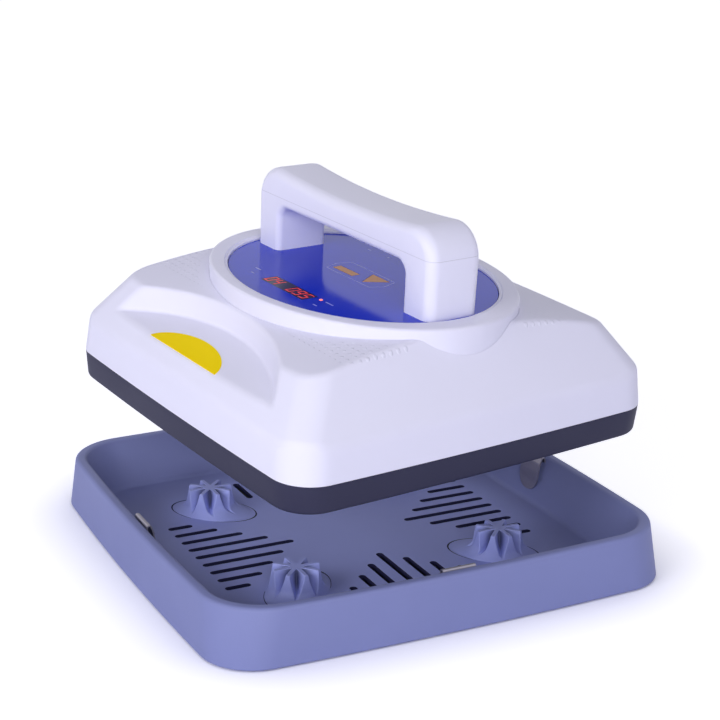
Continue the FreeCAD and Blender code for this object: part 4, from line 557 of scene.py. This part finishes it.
def trayWallSweep():
    # From the floor's edge out through a cove, up the leaning inner wall, over the rim and down to the foot,
    # then back underneath. Corner radii go from the floor's to the well's along the floor, to the rim's up
    # the wall and to the outer one across the rim; under the floor they are the well's.
    size = tray
    top = size["half"] - size["draft"]
    well = top - size["rim"]
    low = well - size["wellDraft"]
    start, floor, high, wall = size["floorHalf"], size["floor"], size["height"], size["wall"]
    points = [(start, floor), (low, floor), (well, high), (top, high), (size["half"], 0),
              (size["half"] - wall, 0), (top - wall, high - wall), (well + wall, high - wall),
              (low + wall, 0), (start, 0)]
    radii = [0, size["cove"], size["rimEdge"], size["rimEdge"], size["foot"], size["footEdge"],
             size["underEdge"], size["underEdge"], size["underEdge"], 0]
    profile = roundedLine(points, radii)
    half, height = profile.T
    share = np.clip((half - start) / (low - start), 0, 1)
    climb = np.clip((height - floor) / (high - floor), 0, 1)
    rimCorner = size["corner"] - size["rim"]
    wellCorner = size["wellCorner"] + (rimCorner - size["wellCorner"]) * climb
    floorCorner = size["floorCorner"] + (size["wellCorner"] - size["floorCorner"]) * share
    across = np.clip((half - well) / (top - well), 0, 1)
    corner = np.where(half < low, floorCorner, wellCorner + (size["corner"] - rimCorner) * across)
    underFloor = (half > low) & (half < well) & (height < floor / 2)
    corner = np.where(underFloor, size["wellCorner"], corner)
    return squareSweep(np.column_stack([profile, corner]), size["bow"], sideCount=size["sideCount"],
                       cornerCount=size["cornerCount"])


def roundedSlot(length, width, steps=8):  # a loop round a slot whose length runs along x, from its middle
    end = ovalAt(np.linspace(-math.pi / 2, math.pi / 2, steps + 1), width / 2, width / 2)
    end += ((length - width) / 2, 0)
    return np.concatenate([end, -end])


def slotLoops(grow):
    # Four fans: each next slot away from the middle one starts a step further out, and all end on one line.
    loops = []
    for step in range(-tray["slotSide"], tray["slotSide"] + 1):
        start = tray["slotInner"] + abs(step) * tray["slotStep"]
        loop = roundedSlot(tray["slotOuter"] - start + 2 * grow, tray["slotWidth"] + 2 * grow)
        loop += ((start + tray["slotOuter"]) / 2, step * tray["slotPitch"])
        x, y = loop.T
        loops += [np.column_stack(quarter) for quarter in ((x, y), (-y, x), (-x, -y), (y, -x))]
    return loops


def perforated(edge, loops, height):
    # Triangles over everything inside the edge, without those whose middle lies in one of the convex loops.
    tolerance = 1e-6
    plan = [edge] + loops
    starts = np.cumsum([0] + [len(loop) for loop in plan]).tolist()
    edges = [(start + i, start + (i + 1) % len(loop))
             for start, loop in zip(starts, plan) for i in range(len(loop))]
    corners = [Vector(point) for point in np.concatenate(plan).tolist()]
    filled = delaunay_2d_cdt(corners, edges, [], 1, tolerance)
    points = np.array([tuple(point) for point in filled[0]])
    triangles = np.array([list(face) for face in filled[2]])
    middle = points[triangles].mean(1)
    keep = np.ones(len(triangles), bool)
    for loop in loops:
        along = np.roll(loop, -1, 0) - loop
        out = middle[:, None] - loop
        side = np.sign(along[:, 0] * out[..., 1] - along[:, 1] * out[..., 0])
        keep &= np.abs(side.sum(1)) < len(loop)
    return flatAt(points, height), triangles[keep]


def wallBetween(*loops):  # the faces between loops with as many points each
    rows = np.stack(loops)
    return rows.reshape(-1, 3), gridFaces(*rows.shape[:2])


def buildTray():
    # The walls' sweep, the floor's two faces and the slots' walls, which take the second material: painted
    # shade.
    sweep, floor, edge = trayWallSweep(), tray["floor"], tray["slotEdge"]
    wide, narrow = slotLoops(edge), slotLoops(0.0)
    parts = [wallBetween(*sweep), perforated(sweep[0][:, :2], wide, floor),
             perforated(sweep[-1][:, :2], narrow, 0.0)]
    plain = len(parts)
    parts += [wallBetween(flatAt(outer, floor), flatAt(inner, floor - edge), flatAt(inner, 0.0))
              for outer, inner in zip(wide, narrow)]
    piece = weldPiece("tray_body", parts, trayPose, "tray", finishes["tray"], 40, plain)
    piece.data.materials.append(finishes["shade"])
    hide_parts("tray_shell")


buildTray()
print("tray made")


# Wall clips: bent steel strips that come out of the wall, fold over at the rim and lie down along the wall

clip = {"half": 10.0, "sheet": 0.8, "belowRim": 3.6, "end": 9.0, "endSteps": 12, "steps": 70,
        "line": ((1.2, -0.5), (-0.7, 0.1), (-1.3, 2.0), (-2.3, 2.8), (-3.5, 1.8), (-3.7, -2.0), (-2.9, -8.0),
                 (-1.8, -14.0), (-1.0, -20.5)),
        "radii": (0, 0.8, 1.6, 0.9, 0.9, 4.0, 12.0, 12.0, 0)}


def buildClip(wall):
    # In the wall's own frame, y into it and z up along it. The strip ends round: past the end's centre the
    # half width shrinks by the end's radius less the root of radius squared minus distance squared.
    size = clip
    bends = roundedLine(size["line"], size["radii"])
    straight = runLengths(bends)[-1] - size["end"]
    past = size["end"] * np.sin(np.linspace(0, math.pi / 2, size["endSteps"]))
    along = np.concatenate([np.linspace(0, straight, size["steps"])[:-1], straight + past])
    middle = pointsAlong(bends, along)
    ahead = np.gradient(middle, along, axis=0)
    ahead /= np.linalg.norm(ahead, axis=1)[:, None]
    out = np.column_stack([-ahead[:, 1], ahead[:, 0]]) * size["sheet"] / 2
    beyond = np.maximum(along - straight, 0)
    half = size["half"] - size["end"] + np.sqrt(np.maximum(size["end"] ** 2 - beyond ** 2, 0))
    rows = np.stack([np.column_stack([side * half, middle + face * out])
                     for side, face in ((-1, -1), (1, -1), (1, 1), (-1, 1))], 1)
    lean = math.atan2(tray["wellDraft"], tray["height"] - tray["floor"])
    reach = tray["half"] - tray["draft"] - tray["rim"] - size["belowRim"] * math.tan(lean)
    place = Matrix.Translation(Vector((0, reach, tray["height"] - size["belowRim"])) * millimetre)
    pose = Matrix.Rotation(wall * math.pi / 2, 4, "Z") @ place @ Matrix.Rotation(-lean, 4, "X")
    tongue = makePiece(f"clip_tongue_{wall + 1}", rows, pose, "tray", finishes["steel"], "spring_steel",
                       caps=endCaps(rows, turned=True))
    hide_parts(f"wall_clip_{wall + 1}")


for wall in range(4):
    buildClip(wall)
print("clips made")


# Rest posts: a star of eight ribs that widen downwards and run out in an oval skirt

post = {"reach": 64.5, "top": 17.6, "floor": 2.4, "radius": 13.6, "flare": 1.2, "rib": 1.2, "arms": 8,
        "meet": 0.97, "skirtLong": 26.6, "skirtShort": 16.6, "skirtShift": 2.4, "skirtTop": 9.0,
        "closed": 3.6, "below": (0.0, 0.15, 0.5, 2.0), "insets": (0.5, 0.275, 0.0), "ribInset": 0.6,
        "rows": 22, "ribPower": 1.3, "hubPower": 4, "skirtPower": 2.2, "blendRate": 1.6, "blendPower": 1.5,
        "armEdge": 0.5, "armShare": 0.4, "valleyEdge": 0.3, "valleyShare": 0.1, "leastGap": 0.1,
        "shadeReach": (4.0, 12.5), "shadeLeast": 0.35, "shadeDrop": 0.3}


def starOutline(radius, rib, valley, steps=4):
    # Flat-ended arms; between two of them a wedge-shaped gap runs in to the valley, which is rounded.
    points, radii = [], []
    half = math.pi / post["arms"]
    gap = max(radius * math.sin(half) - rib * math.cos(half), post["leastGap"])
    for arm in range(post["arms"]):
        turn = 2 * arm * half
        along = np.array([math.cos(turn), math.sin(turn)])
        across = np.array([-math.sin(turn), math.cos(turn)])
        points += [radius * along - rib * across, radius * along + rib * across,
                   valley * np.array([math.cos(turn + half), math.sin(turn + half)])]
        armEdge = min(post["armEdge"], post["armShare"] * rib)
        radii += [armEdge, armEdge, min(post["valleyEdge"], post["valleyShare"] * gap)]
    bends = roundedLine(points, radii, steps).reshape(len(points), steps + 1, 2)
    start, way = bends[:, -1], np.roll(bends, -1, 0)[:, 0] - bends[:, -1]
    between = np.stack([start + way * share for share in (0.25, 0.5, 0.75)], 1)
    return np.concatenate([bends, between], 1).reshape(-1, 2)


def postRow(height, inset):
    # The arms reach out and widen as they go down until they meet. From the skirt's top down the star is
    # stretched to an oval and mixed into it. Each share of the way down counts by its own power.
    size = post
    half = math.pi / size["arms"]
    down = min(max((size["top"] - height) / (size["top"] - size["closed"]), 0), 1)
    radius = size["radius"] + size["flare"] * down - inset
    widest = size["meet"] * radius * math.tan(half)
    rib = size["rib"] + (widest - size["rib"]) * down ** size["ribPower"] - size["ribInset"] * inset
    hub, full = size["rib"] / math.sin(half), widest / math.sin(half)
    outline = starOutline(radius, rib, hub + (full - hub) * down ** size["hubPower"])
    share = min(max((size["skirtTop"] - height) / (size["skirtTop"] - size["floor"]), 0), 1)
    spreadShare = share ** size["skirtPower"]
    turn = np.arctan2(outline[:, 1], outline[:, 0])
    axes = [radius + (size[axis] - radius) * spreadShare for axis in ("skirtLong", "skirtShort")]
    stretched = outline * axes / radius
    blend = min(1.0, size["blendRate"] * share) ** size["blendPower"]
    plan = (1 - blend) * stretched + blend * ovalAt(turn, *axes) - (size["skirtShift"] * spreadShare, 0)
    return flatAt(plan, height)


def postPoses():  # each post's number and pose: at a corner of a square, turned to look outwards
    for number, (u, v) in enumerate(((-1, -1), (1, -1), (1, 1), (-1, 1)), start=1):
        place = Matrix.Translation(Vector((u, v, 0)) * post["reach"] * millimetre)
        yield number, place @ Matrix.Rotation(math.atan2(v, u), 4, "Z")


def buildPosts():
    # The first rows, by their places below the top, are drawn in for an edge; the rest go down evenly.
    *edges, below = post["below"]
    even = np.linspace(post["top"] - below, post["floor"], post["rows"])
    heights = [post["top"] - edge for edge in edges] + even.tolist()
    insets = [*post["insets"], *np.zeros(len(even))]
    rows = np.array([postRow(height, inset) for height, inset in zip(heights, insets)])
    for number, pose in postPoses():
        piece = makePiece(f"rest_post_{number}_star", rows, pose, "tray", finishes["post"], "tray_plastic",
                          sharp=32, caps=endCaps(rows))
        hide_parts(f"rest_post_{number}")


def paintedGapShade(material):
    # Painted shade in the gaps: below the arms' tops the colour falls darker towards each post's own axis.
    tree = material.node_tree
    place = objectPlace(tree)
    middle = (post["reach"] * millimetre, post["reach"] * millimetre, 0)
    folded = vectorOf(tree, "SUBTRACT", vectorOf(tree, "ABSOLUTE", place), middle)
    away = lengthOf(tree, vectorOf(tree, "MULTIPLY", folded, (1, 1, 0)))
    near, far = (reach * millimetre for reach in post["shadeReach"])
    fall = eased(tree, away, near, far, post["shadeLeast"], 1.0)
    top = mathOf(tree, "GREATER_THAN", heightOf(tree, place), (post["top"] - post["shadeDrop"]) * millimetre)
    return scaled(material, mathOf(tree, "MAXIMUM", top, fall))


finishes["post"] = paintedGapShade(trayMade("postPlastic"))
buildPosts()
print("posts made")


# Handle: an arch between an outer and an inner outline, with rounded long edges

handle = {"outer": 86.0, "inner": 62.0, "low": 58.2, "gripLow": 87.0, "top": 109.0, "dip": 3.5,
          "corner": 18.5, "bend": 8.0, "half": 17.5, "edge": 6.5, "innerShare": 0.6, "edgeSteps": 8,
          "bendSteps": 24, "topSteps": 40, "steps": 30, "split": 93.0, "splitWidth": 0.35, "splitDark": 0.78}


def archLine(x, low, high, radius, dip):
    # Up a leg, round its corner and along the top, which sinks by the dip times one minus the squared share
    # of the way out from the middle; then mirrored. Each run has as many points, at equal distances.
    apart = 1e-6
    turn = np.linspace(math.pi, math.pi / 2, handle["bendSteps"])
    bend = ovalAt(turn, radius, radius) + (radius - x, high - radius)
    along = np.linspace(radius - x, 0, handle["topSteps"])
    top = np.column_stack([along, high - dip * (1 - (along / (x - radius)) ** 2)])
    runs = [np.array([[-x, low], [-x, high - radius]]), bend, top]
    half = np.concatenate([pointsAlong(run, np.linspace(0, runLengths(run)[-1], handle["steps"]))
                           for run in runs])
    keep = np.concatenate([[True], np.linalg.norm(np.diff(half, axis=0), axis=1) > apart])
    half = half[keep]
    return np.concatenate([half, half[-2::-1] * (-1, 1)])


def legEdges():  # the radii of a section's four corners, from an inner one round by the outer two
    edge, inner = handle["edge"], handle["innerShare"] * handle["edge"]
    return [inner, edge, edge, inner]


def buildHandle():
    # Each section is a rounded oblong across the two outlines, as deep as they are apart there.
    size = handle
    outer = archLine(size["outer"], size["low"], size["top"], size["corner"], size["dip"])
    inner = archLine(size["inner"], size["low"], size["gripLow"], size["bend"], 0.0)
    middle, reach = (outer + inner) / 2, (outer - inner) / 2
    rows = []
    for centre, way in zip(middle, reach):
        deep, wide = np.linalg.norm(way), size["half"]
        section = roundedLine([(-deep, -wide), (deep, -wide), (deep, wide), (-deep, wide)], legEdges(),
                              size["edgeSteps"])
        plan = centre + section[:, :1] * way / deep
        rows.append(np.column_stack([plan[:, 0], section[:, 1], plan[:, 1]]))
    rows = np.array(rows)
    piece = makePiece("handle_shells", rows, pressPose, "press", finishes["handle"], "white_plastic",
                      sharp=50, caps=endCaps(rows, turned=True))
    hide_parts("handle_lower", "handle_upper")


def parted(material, colour):
    # A fine grey line where the press's own height is that of the split between the handle's shells.
    tree, shader, feeds = shaderOf(material)
    near = mathOf(tree, "COMPARE", heightOf(tree, pressPlace(tree)), handle["split"] * millimetre,
                  handle["splitWidth"] * millimetre / 2)
    grey = darker(colour, handle["splitDark"])
    feed(tree, shader, {"Base Color": mixed(tree, near, feeds["Base Color"], grey)})
    return material


finishes["handle"] = parted(mouldedPlastic("whiteHandle", coverWhite, roughness=0.42, bump=0.02, shift=0.015,
                                           specular=0.35), coverWhite)
buildHandle()
print("handle made")


# The glossy panel face with its openings, the display window with its figures, and the status light

overlay = {"long": 89.0, "short": 71.0, "top": 60.0, "low": 59.2, "edge": 0.2, "legFit": 0.1, "steps": 180}
display = {"x": (-20.4, 22.0), "y": (-55.3, -44.1), "corner": 0.8, "fit": 0.1, "sink": 0.02, "edge": 0.1,
           "tall": 4.2, "wide": 2.35, "stroke": 1.05, "gap": 0.12, "barCorner": 0.25, "slant": 0.1,
           "thick": 0.04, "places": (-16.9, -10.5, 5.0, 11.5, 18.0), "figures": "04095"}  # tall, wide: halves
light = {"place": (27.0, -45.9), "radius": 1.1, "rise": 0.5, "steps": 32, "rings": 6, "holeSteps": 20}
# The outlines of the bar key and the arrow key, and the radius of their corners
keyLoops = [([(-20.8, -5.8), (-1.2, -5.8), (-1.2, 0.4), (-20.8, 0.4)], 1.0),
            ([(10.3, -7.1), (19.15, 7.3), (1.45, 7.3)], 0.6)]


def squareLoop(x, y, corner):  # an oblong between two x and two y, with rounded corners
    return roundedLine([(x[0], y[0]), (x[1], y[0]), (x[1], y[1]), (x[0], y[1])], [corner] * 4)


def buildOverlay():
    # An oval sheet with a slightly bevelled edge; each opening is a loop cut through both faces.
    size, fit = overlay, overlay["legFit"]
    turn = fullTurn(size["steps"])
    top, low, edge = size["top"], size["low"], size["edge"]
    face, rim = (ovalAt(turn, size["long"] - inset, size["short"] - inset) for inset in (edge, 0))
    loops = [squareLoop(display["x"], display["y"], display["corner"])]
    loops += [roundedLine(points, [corner] * len(points)) for points, corner in keyLoops]
    hole = light["radius"] + fit
    loops.append(ovalAt(fullTurn(light["holeSteps"]), hole, hole) + light["place"])
    inner, outer, half = handle["inner"] - fit, handle["outer"] + fit, handle["half"] + fit
    leg = roundedLine([(inner, -half), (outer, -half), (outer, half), (inner, half)], legEdges(),
                      handle["edgeSteps"])
    loops += [leg * (-1, 1), leg]
    parts = [perforated(face, loops, top), perforated(rim, loops, low),
             wallBetween(flatAt(face, top), flatAt(rim, top - edge)),
             wallBetween(flatAt(rim, top - edge), flatAt(rim, low))]
    parts += [wallBetween(flatAt(loop, top), flatAt(loop, low)) for loop in loops]
    piece = weldPiece("panel_face", parts, pressPose, "press", finishes["panel"], 30)
    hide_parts("panel_overlay")


def buildWindow():
    # A dark window set in the panel: a flat face with a bevelled edge.
    size, top = display, overlay["top"] - display["sink"]
    rows = []
    for inset, height in ((size["edge"], top), (0.0, top - size["edge"]), (0.0, overlay["low"])):
        x, y = (np.array(size[axis]) + (size["fit"] + inset, -size["fit"] - inset) for axis in ("x", "y"))
        rows.append(flatAt(squareLoop(x, y, size["corner"]), height))
    rows = np.stack(rows)
    window = makePiece("display_glass", rows, pressPose, "press", finishes["glass"], "clear_window",
                       caps=endCaps(rows))
    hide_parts("display_window")


def buildFigures():
    # The lit bars of each figure: closed slabs, moved along x by the slant times their height on the figure.
    size, top = display, overlay["top"]
    tall, wide, stroke, gap = size["tall"], size["wide"], size["stroke"], size["gap"]
    across, left, right = (-wide, wide), (-wide, stroke - wide), (wide - stroke, wide)
    upper, lower = (0, tall), (-tall, 0)
    bars = {"a": (across, (tall - stroke, tall)), "g": (across, (-stroke / 2, stroke / 2)),
            "d": (across, (-tall, stroke - tall)), "f": (left, upper), "b": (right, upper),
            "e": (left, lower), "c": (right, lower)}
    lit = {"0": "abcdef", "4": "bcfg", "9": "abcdfg", "5": "acdfg"}
    middle = sum(size["y"]) / 2
    parts = []
    for place, figure in zip(size["places"], size["figures"]):
        for x, y in (bars[name] for name in lit[figure]):
            loop = squareLoop((x[0] + gap, x[1] - gap), (y[0] + gap, y[1] - gap), size["barCorner"])
            loop = loop + np.column_stack([place + size["slant"] * loop[:, 1], np.full(len(loop), middle)])
            face, back = flatAt(loop, top + size["thick"]), flatAt(loop, top - size["sink"])
            order = np.arange(len(loop))[None]
            parts += [wallBetween(face, back), (face, order), (back, order[:, ::-1])]
    piece = weldPiece("display_figures", parts, pressPose, "press", finishes["digits"])
    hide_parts("display_digits")


def buildLight():
    # A low dome on a short stem: its rings are the radius times a cosine wide and the rise times a sine high.
    size = light
    climb = np.linspace(math.pi / 2, 0, size["rings"] + 1)[1:]
    radii = [*size["radius"] * np.cos(climb), size["radius"]]
    heights = [*overlay["top"] + size["rise"] * np.sin(climb), overlay["low"]]
    rows = np.stack([flatAt(ovalAt(fullTurn(size["steps"]), radius, radius) + size["place"], height)
                     for radius, height in zip(radii, heights)])
    piece = makePiece("status_light", rows, pressPose, "press", finishes["led"], "red_digits",
                      caps=endCaps(rows))
    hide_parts("status_led")


label = {"middle": -4.0, "half": 35.0, "rise": 16.0, "front": 115.1, "thick": 0.2, "full": 0.6, "steps": 61}


def buildLabel():
    # A half moon on the scoop's floor: its height is the rise times (1 - share squared) to the power full.
    size = label
    share = np.sin(np.linspace(-math.pi / 2, math.pi / 2, size["steps"]))
    bow = size["rise"] * (1 - share ** 2) ** size["full"]
    arc, base = np.column_stack([size["half"] * share, bow]), flatAt(size["half"] * share[::-1], 0)
    loop = np.concatenate([arc[1:-1], base])
    x, y = loop[:, 0] + size["middle"], loop[:, 1] - size["front"]
    z = cover["scoopHeight"] + (y + cover["scoopStart"]) * math.tan(math.radians(cover["scoopTilt"]))
    rows = np.stack([np.column_stack([x, y, z + height]) for height in (size["thick"], -size["thick"])])
    piece = makePiece("side_label_sheet", rows, pressPose, "press", finishes["yellow"], "label_yellow",
                      caps=endCaps(rows))
    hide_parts("side_label")


buildOverlay()
buildWindow()
buildFigures()
buildLight()
buildLabel()
print("panel face, display and label made")


# Print on the panel: the outline round the keys and small plain marks

prints = {"height": 60.04, "thick": 0.03, "line": 0.55, "corner": 2.0, "mark": 0.9, "sharpest": 0.2,
          "outline": [(-21.6, -9.5), (20.5, -9.2), (24.2, -1.5), (20.7, 9.2), (-22.4, 9.7), (-25.6, 0.3)],
          "marks": [(32.8, -53.8, 3.6), (34.8, -45.6, 7.0), (-39.3, 34.0, 3.0), (-20.6, 34.8, 3.0),
                    (-37.0, -46.5, 5.4), (-32.1, -53.2, 3.2)]}  # middle and length


def ribbon(name, line, width, closed=False):
    # Both edges lie half the width beside the line, along its mean normal at each point.
    line = np.asarray(line, float)
    ahead = np.roll(line, -1, 0) - line
    if not closed:
        ahead[-1] = ahead[-2]
    way = ahead / np.linalg.norm(ahead, axis=1, keepdims=True)
    before = np.roll(way, 1, 0)
    if not closed:
        before[0] = way[0]
    normal = np.column_stack([-(way + before)[:, 1], (way + before)[:, 0]])
    normal /= np.maximum((normal * normal).sum(1, keepdims=True) / 2, prints["sharpest"])
    high, low = prints["height"], prints["height"] - prints["thick"]
    rows = np.stack([flatAt(line + side * width / 2 * normal, height)
                     for side, height in ((1, high), (-1, high), (-1, low), (1, low))])
    makePiece(name, rows, pressPose, "press", finishes["ink"], "panel_blue", closedRows=True,
              closedColumns=closed)


def printPanel():
    # The outline is a closed ribbon; a mark is a straight one about its middle.
    outline = roundedLine(prints["outline"], [prints["corner"]] * len(prints["outline"]), steps=4)
    ribbon("panel_print_outline", outline, prints["line"], closed=True)
    for number, (x, y, length) in enumerate(prints["marks"]):
        line = [(x - length / 2, y), (x, y), (x + length / 2, y)]
        ribbon(f"panel_print_mark_{number}", line, prints["mark"])


printPanel()


# Painted shade: dark strips for the shadowed slits in the floor round the ends of each rest post's skirt

slit = {"reach": 72, "gap": 0.25, "narrow": 0.25, "wider": 0.75, "power": 4, "steps": 40, "high": 0.02,
        "deep": -0.3}


def buildSlits():
    # Along the skirt's end the slit's width is narrow plus wider times the turn's cosine to a power.
    size = slit
    turn = np.radians(np.linspace(-size["reach"], size["reach"], size["steps"]))
    width = size["narrow"] + size["wider"] * np.cos(turn) ** size["power"]

    def beside(turn, reach):  # the skirt's oval, this much further out
        return ovalAt(turn, post["skirtLong"] + reach, post["skirtShort"] + reach) - (post["skirtShift"], 0)

    for number, pose in postPoses():
        for end in (0, 1):
            far, near = (beside(turn + end * math.pi, reach) for reach in (size["gap"] + width, size["gap"]))
            corners = ((far, size["high"]), (near, size["high"]), (near, size["deep"]), (far, size["deep"]))
            rows = np.stack([flatAt(plan, post["floor"] + height) for plan, height in corners])
            makePiece(f"floor_slit_{number}_{end}", rows, pose, "tray", finishes["shade"], "tray_plastic",
                      closedRows=True, closedColumns=False)


buildSlits()
print("print and slits made")


# The CAD nodes that show as they are, and their finishes

nodeFinishes = {
    "black": ["cord_gland", "gland_nut", "switch_frame", "power_rocker", "display_module", "key_switches",
              "power_relay"],
    "zinc": ["post_screws", "plate_screws", "cover_screws", "ring_screws", "panel_screws", "board_screws",
             "pillar_screws", "handle_screws", "grip_screws", "power_board_screws", "clamp_sheet", "base_pan",
             "tilt_sensor_can", "tilt_sensor_ball", "heat_sensor", "thermal_fuse"],
    "plate": ["heating_plate"],
    "amber": ["heater_sheet"],
    "cream": ["insulation_blanket"],
    "brass": ["plate_spacers", "power_board_spacers", "support_pillars"],
    "green": ["control_board", "power_board", "terminal_blocks"],
    "grey": ["power_transformer", "control_ribbon"],
    "wire": ["heater_leads", "sensor_leads"],
    "white": ["panel_carrier"],
    "orange": ["bar_key", "arrow_key"],
}
for finish, names in nodeFinishes.items():
    for name in names:
        mesh = frame["nodes"][name].data
        mesh.materials.clear()
        mesh.materials.append(finishes[finish])
print("nodes painted", sum(len(names) for names in nodeFinishes.values()))


# Floor, light and camera

view = {"turn": 63.35, "rise": 17.15, "distance": 941.33, "roll": 0.78, "lens": 81.43, "sensor": 36.0,
        "target": (8.09, 1.2, 111.65), "farthest": 50.0}  # degrees and millimetres; farthest in metres
stage = {"sky": 0.34, "skyColour": (0.9, 0.9, 1.05, 1.0), "floorColour": (0.86, 0.86, 0.98, 1.0),
         "glowNear": 0.65, "glowFar": 0.74, "glowFrom": 0.35, "glowTo": 3.0, "near": 0.05, "depth": 2.0,
         "samples": 16, "floor": 6.0, "floorSteps": 96, "floorLow": -0.0005, "shade": 0.118,
         "shadeLow": -0.0003}  # lengths in metres
lamps = {"key": {"place": (0.55, -1.85, 0.85), "size": (1.3, 0.9), "power": 16.0},
         "fill": {"place": (1.9, -0.6, 0.62), "size": (1.2, 0.8), "power": 17.0},
         "top": {"place": (-0.5, 0.4, 2.2), "size": (1.6, 1.6), "power": 1.5}}  # metres and watts
lampTarget = (0, 0, 0.08)
white = (1.0, 1.0, 1.0, 1.0)


def addThing(name, data):  # an object in the scene with this data
    thing = bpy.data.objects.new(name, data)
    bpy.context.scene.collection.objects.link(thing)
    return thing


def placeCamera():
    # Back from the target along the view, with the picture rolled a little round that line.
    turn, rise, roll = (math.radians(view[key]) for key in ("turn", "rise", "roll"))
    back = Vector((math.sin(turn) * math.cos(rise), -math.cos(turn) * math.cos(rise), math.sin(rise)))
    right = Vector((math.cos(turn), math.sin(turn), 0))
    up = back.cross(right)
    across = math.cos(roll) * right + math.sin(roll) * up
    along = -math.sin(roll) * right + math.cos(roll) * up
    data = bpy.data.cameras.new("camera")
    data.lens, data.sensor_width, data.clip_end = view["lens"], view["sensor"], view["farthest"]
    pose = Matrix((across, along, back)).transposed().to_4x4()
    pose.translation = (Vector(view["target"]) + back * view["distance"]) * millimetre
    bpy.context.scene.camera = addThing("camera", data)
    bpy.context.scene.camera.matrix_world = pose


def softLight(name, place, size, power):  # an area light that faces the object's middle
    data = bpy.data.lights.new(name, "AREA")
    data.shape, data.size, data.size_y, data.energy = "RECTANGLE", size[0], size[1], power
    pose = (Vector(place) - Vector(lampTarget)).to_track_quat("Z", "Y").to_matrix().to_4x4()
    pose.translation = Vector(place)
    addThing(name, data).matrix_world = pose


def seenDirectly(tree):  # 1 on camera, glossy and transmission rays, 0 on the rays that carry light
    rays = addNode(tree, "LightPath", {}).outputs
    seen = mathOf(tree, "MAXIMUM", rays["Is Camera Ray"], rays["Is Glossy Ray"])
    return mathOf(tree, "MAXIMUM", seen, rays["Is Transmission Ray"])


def buildWorld():
    # A dim bluish sky, which is white where it is seen directly.
    world = bpy.data.worlds.new("studio")
    bpy.context.scene.world = world
    world.use_nodes = True
    tree = world.node_tree
    sky = feed(tree, tree.nodes["Background"], {"Color": stage["skyColour"], "Strength": stage["sky"]})
    seen = addNode(tree, "Background", {"Color": white, "Strength": 1.0})
    mix = addNode(tree, "MixShader", {"Fac": seenDirectly(tree), 1: sky.outputs["Background"],
                                      2: seen.outputs["Background"]})
    feed(tree, tree.nodes["World Output"], {"Surface": mix.outputs["Shader"]})


def paleFloor():
    # Where it is seen directly it glows by what the lamps and sky leave it short of white, times the open
    # share of the room within "near" metres to the power depth, so that the shadow stays at the tray's foot.
    material, tree, shader = newMaterial("paleFloor")
    away = lengthOf(tree, objectPlace(tree))
    short = eased(tree, away, stage["glowFrom"], stage["glowTo"], stage["glowNear"], stage["glowFar"])
    room = addNode(tree, "AmbientOcclusion", {"Distance": stage["near"]}, samples=stage["samples"])
    glow = mathOf(tree, "MULTIPLY", mathOf(tree, "POWER", room.outputs["AO"], stage["depth"]), short)
    feed(tree, shader, {"Base Color": stage["floorColour"], "Roughness": 0.9, "Specular IOR Level": 0.0,
                        "Emission Color": white,
                        "Emission Strength": mathOf(tree, "MULTIPLY", seenDirectly(tree), glow)})
    return material


def flatPiece(name, corners, material):  # one face through the corners
    mesh = bpy.data.meshes.new(name)
    mesh.from_pydata(corners.tolist(), [], [list(range(len(corners)))])
    mesh.materials.append(material)
    return addThing(name, mesh)


def buildFloor():
    # A pale disc, and a dark sheet under the tray that is painted shade, for where no light gets in.
    disc = ovalAt(fullTurn(stage["floorSteps"]), stage["floor"], stage["floor"])
    floor = flatPiece("floor", flatAt(disc, stage["floorLow"]), paleFloor())
    square = np.array([(-1, -1), (1, -1), (1, 1), (-1, 1)]) * stage["shade"]
    shade = flatPiece("shade_under_tray", flatAt(square, stage["shadeLow"]), finishes["black"])


bpy.context.scene.view_settings.view_transform = "Standard"
placeCamera()
buildWorld()
buildFloor()
for name, lamp in lamps.items():
    softLight(name, **lamp)
print("stage made")
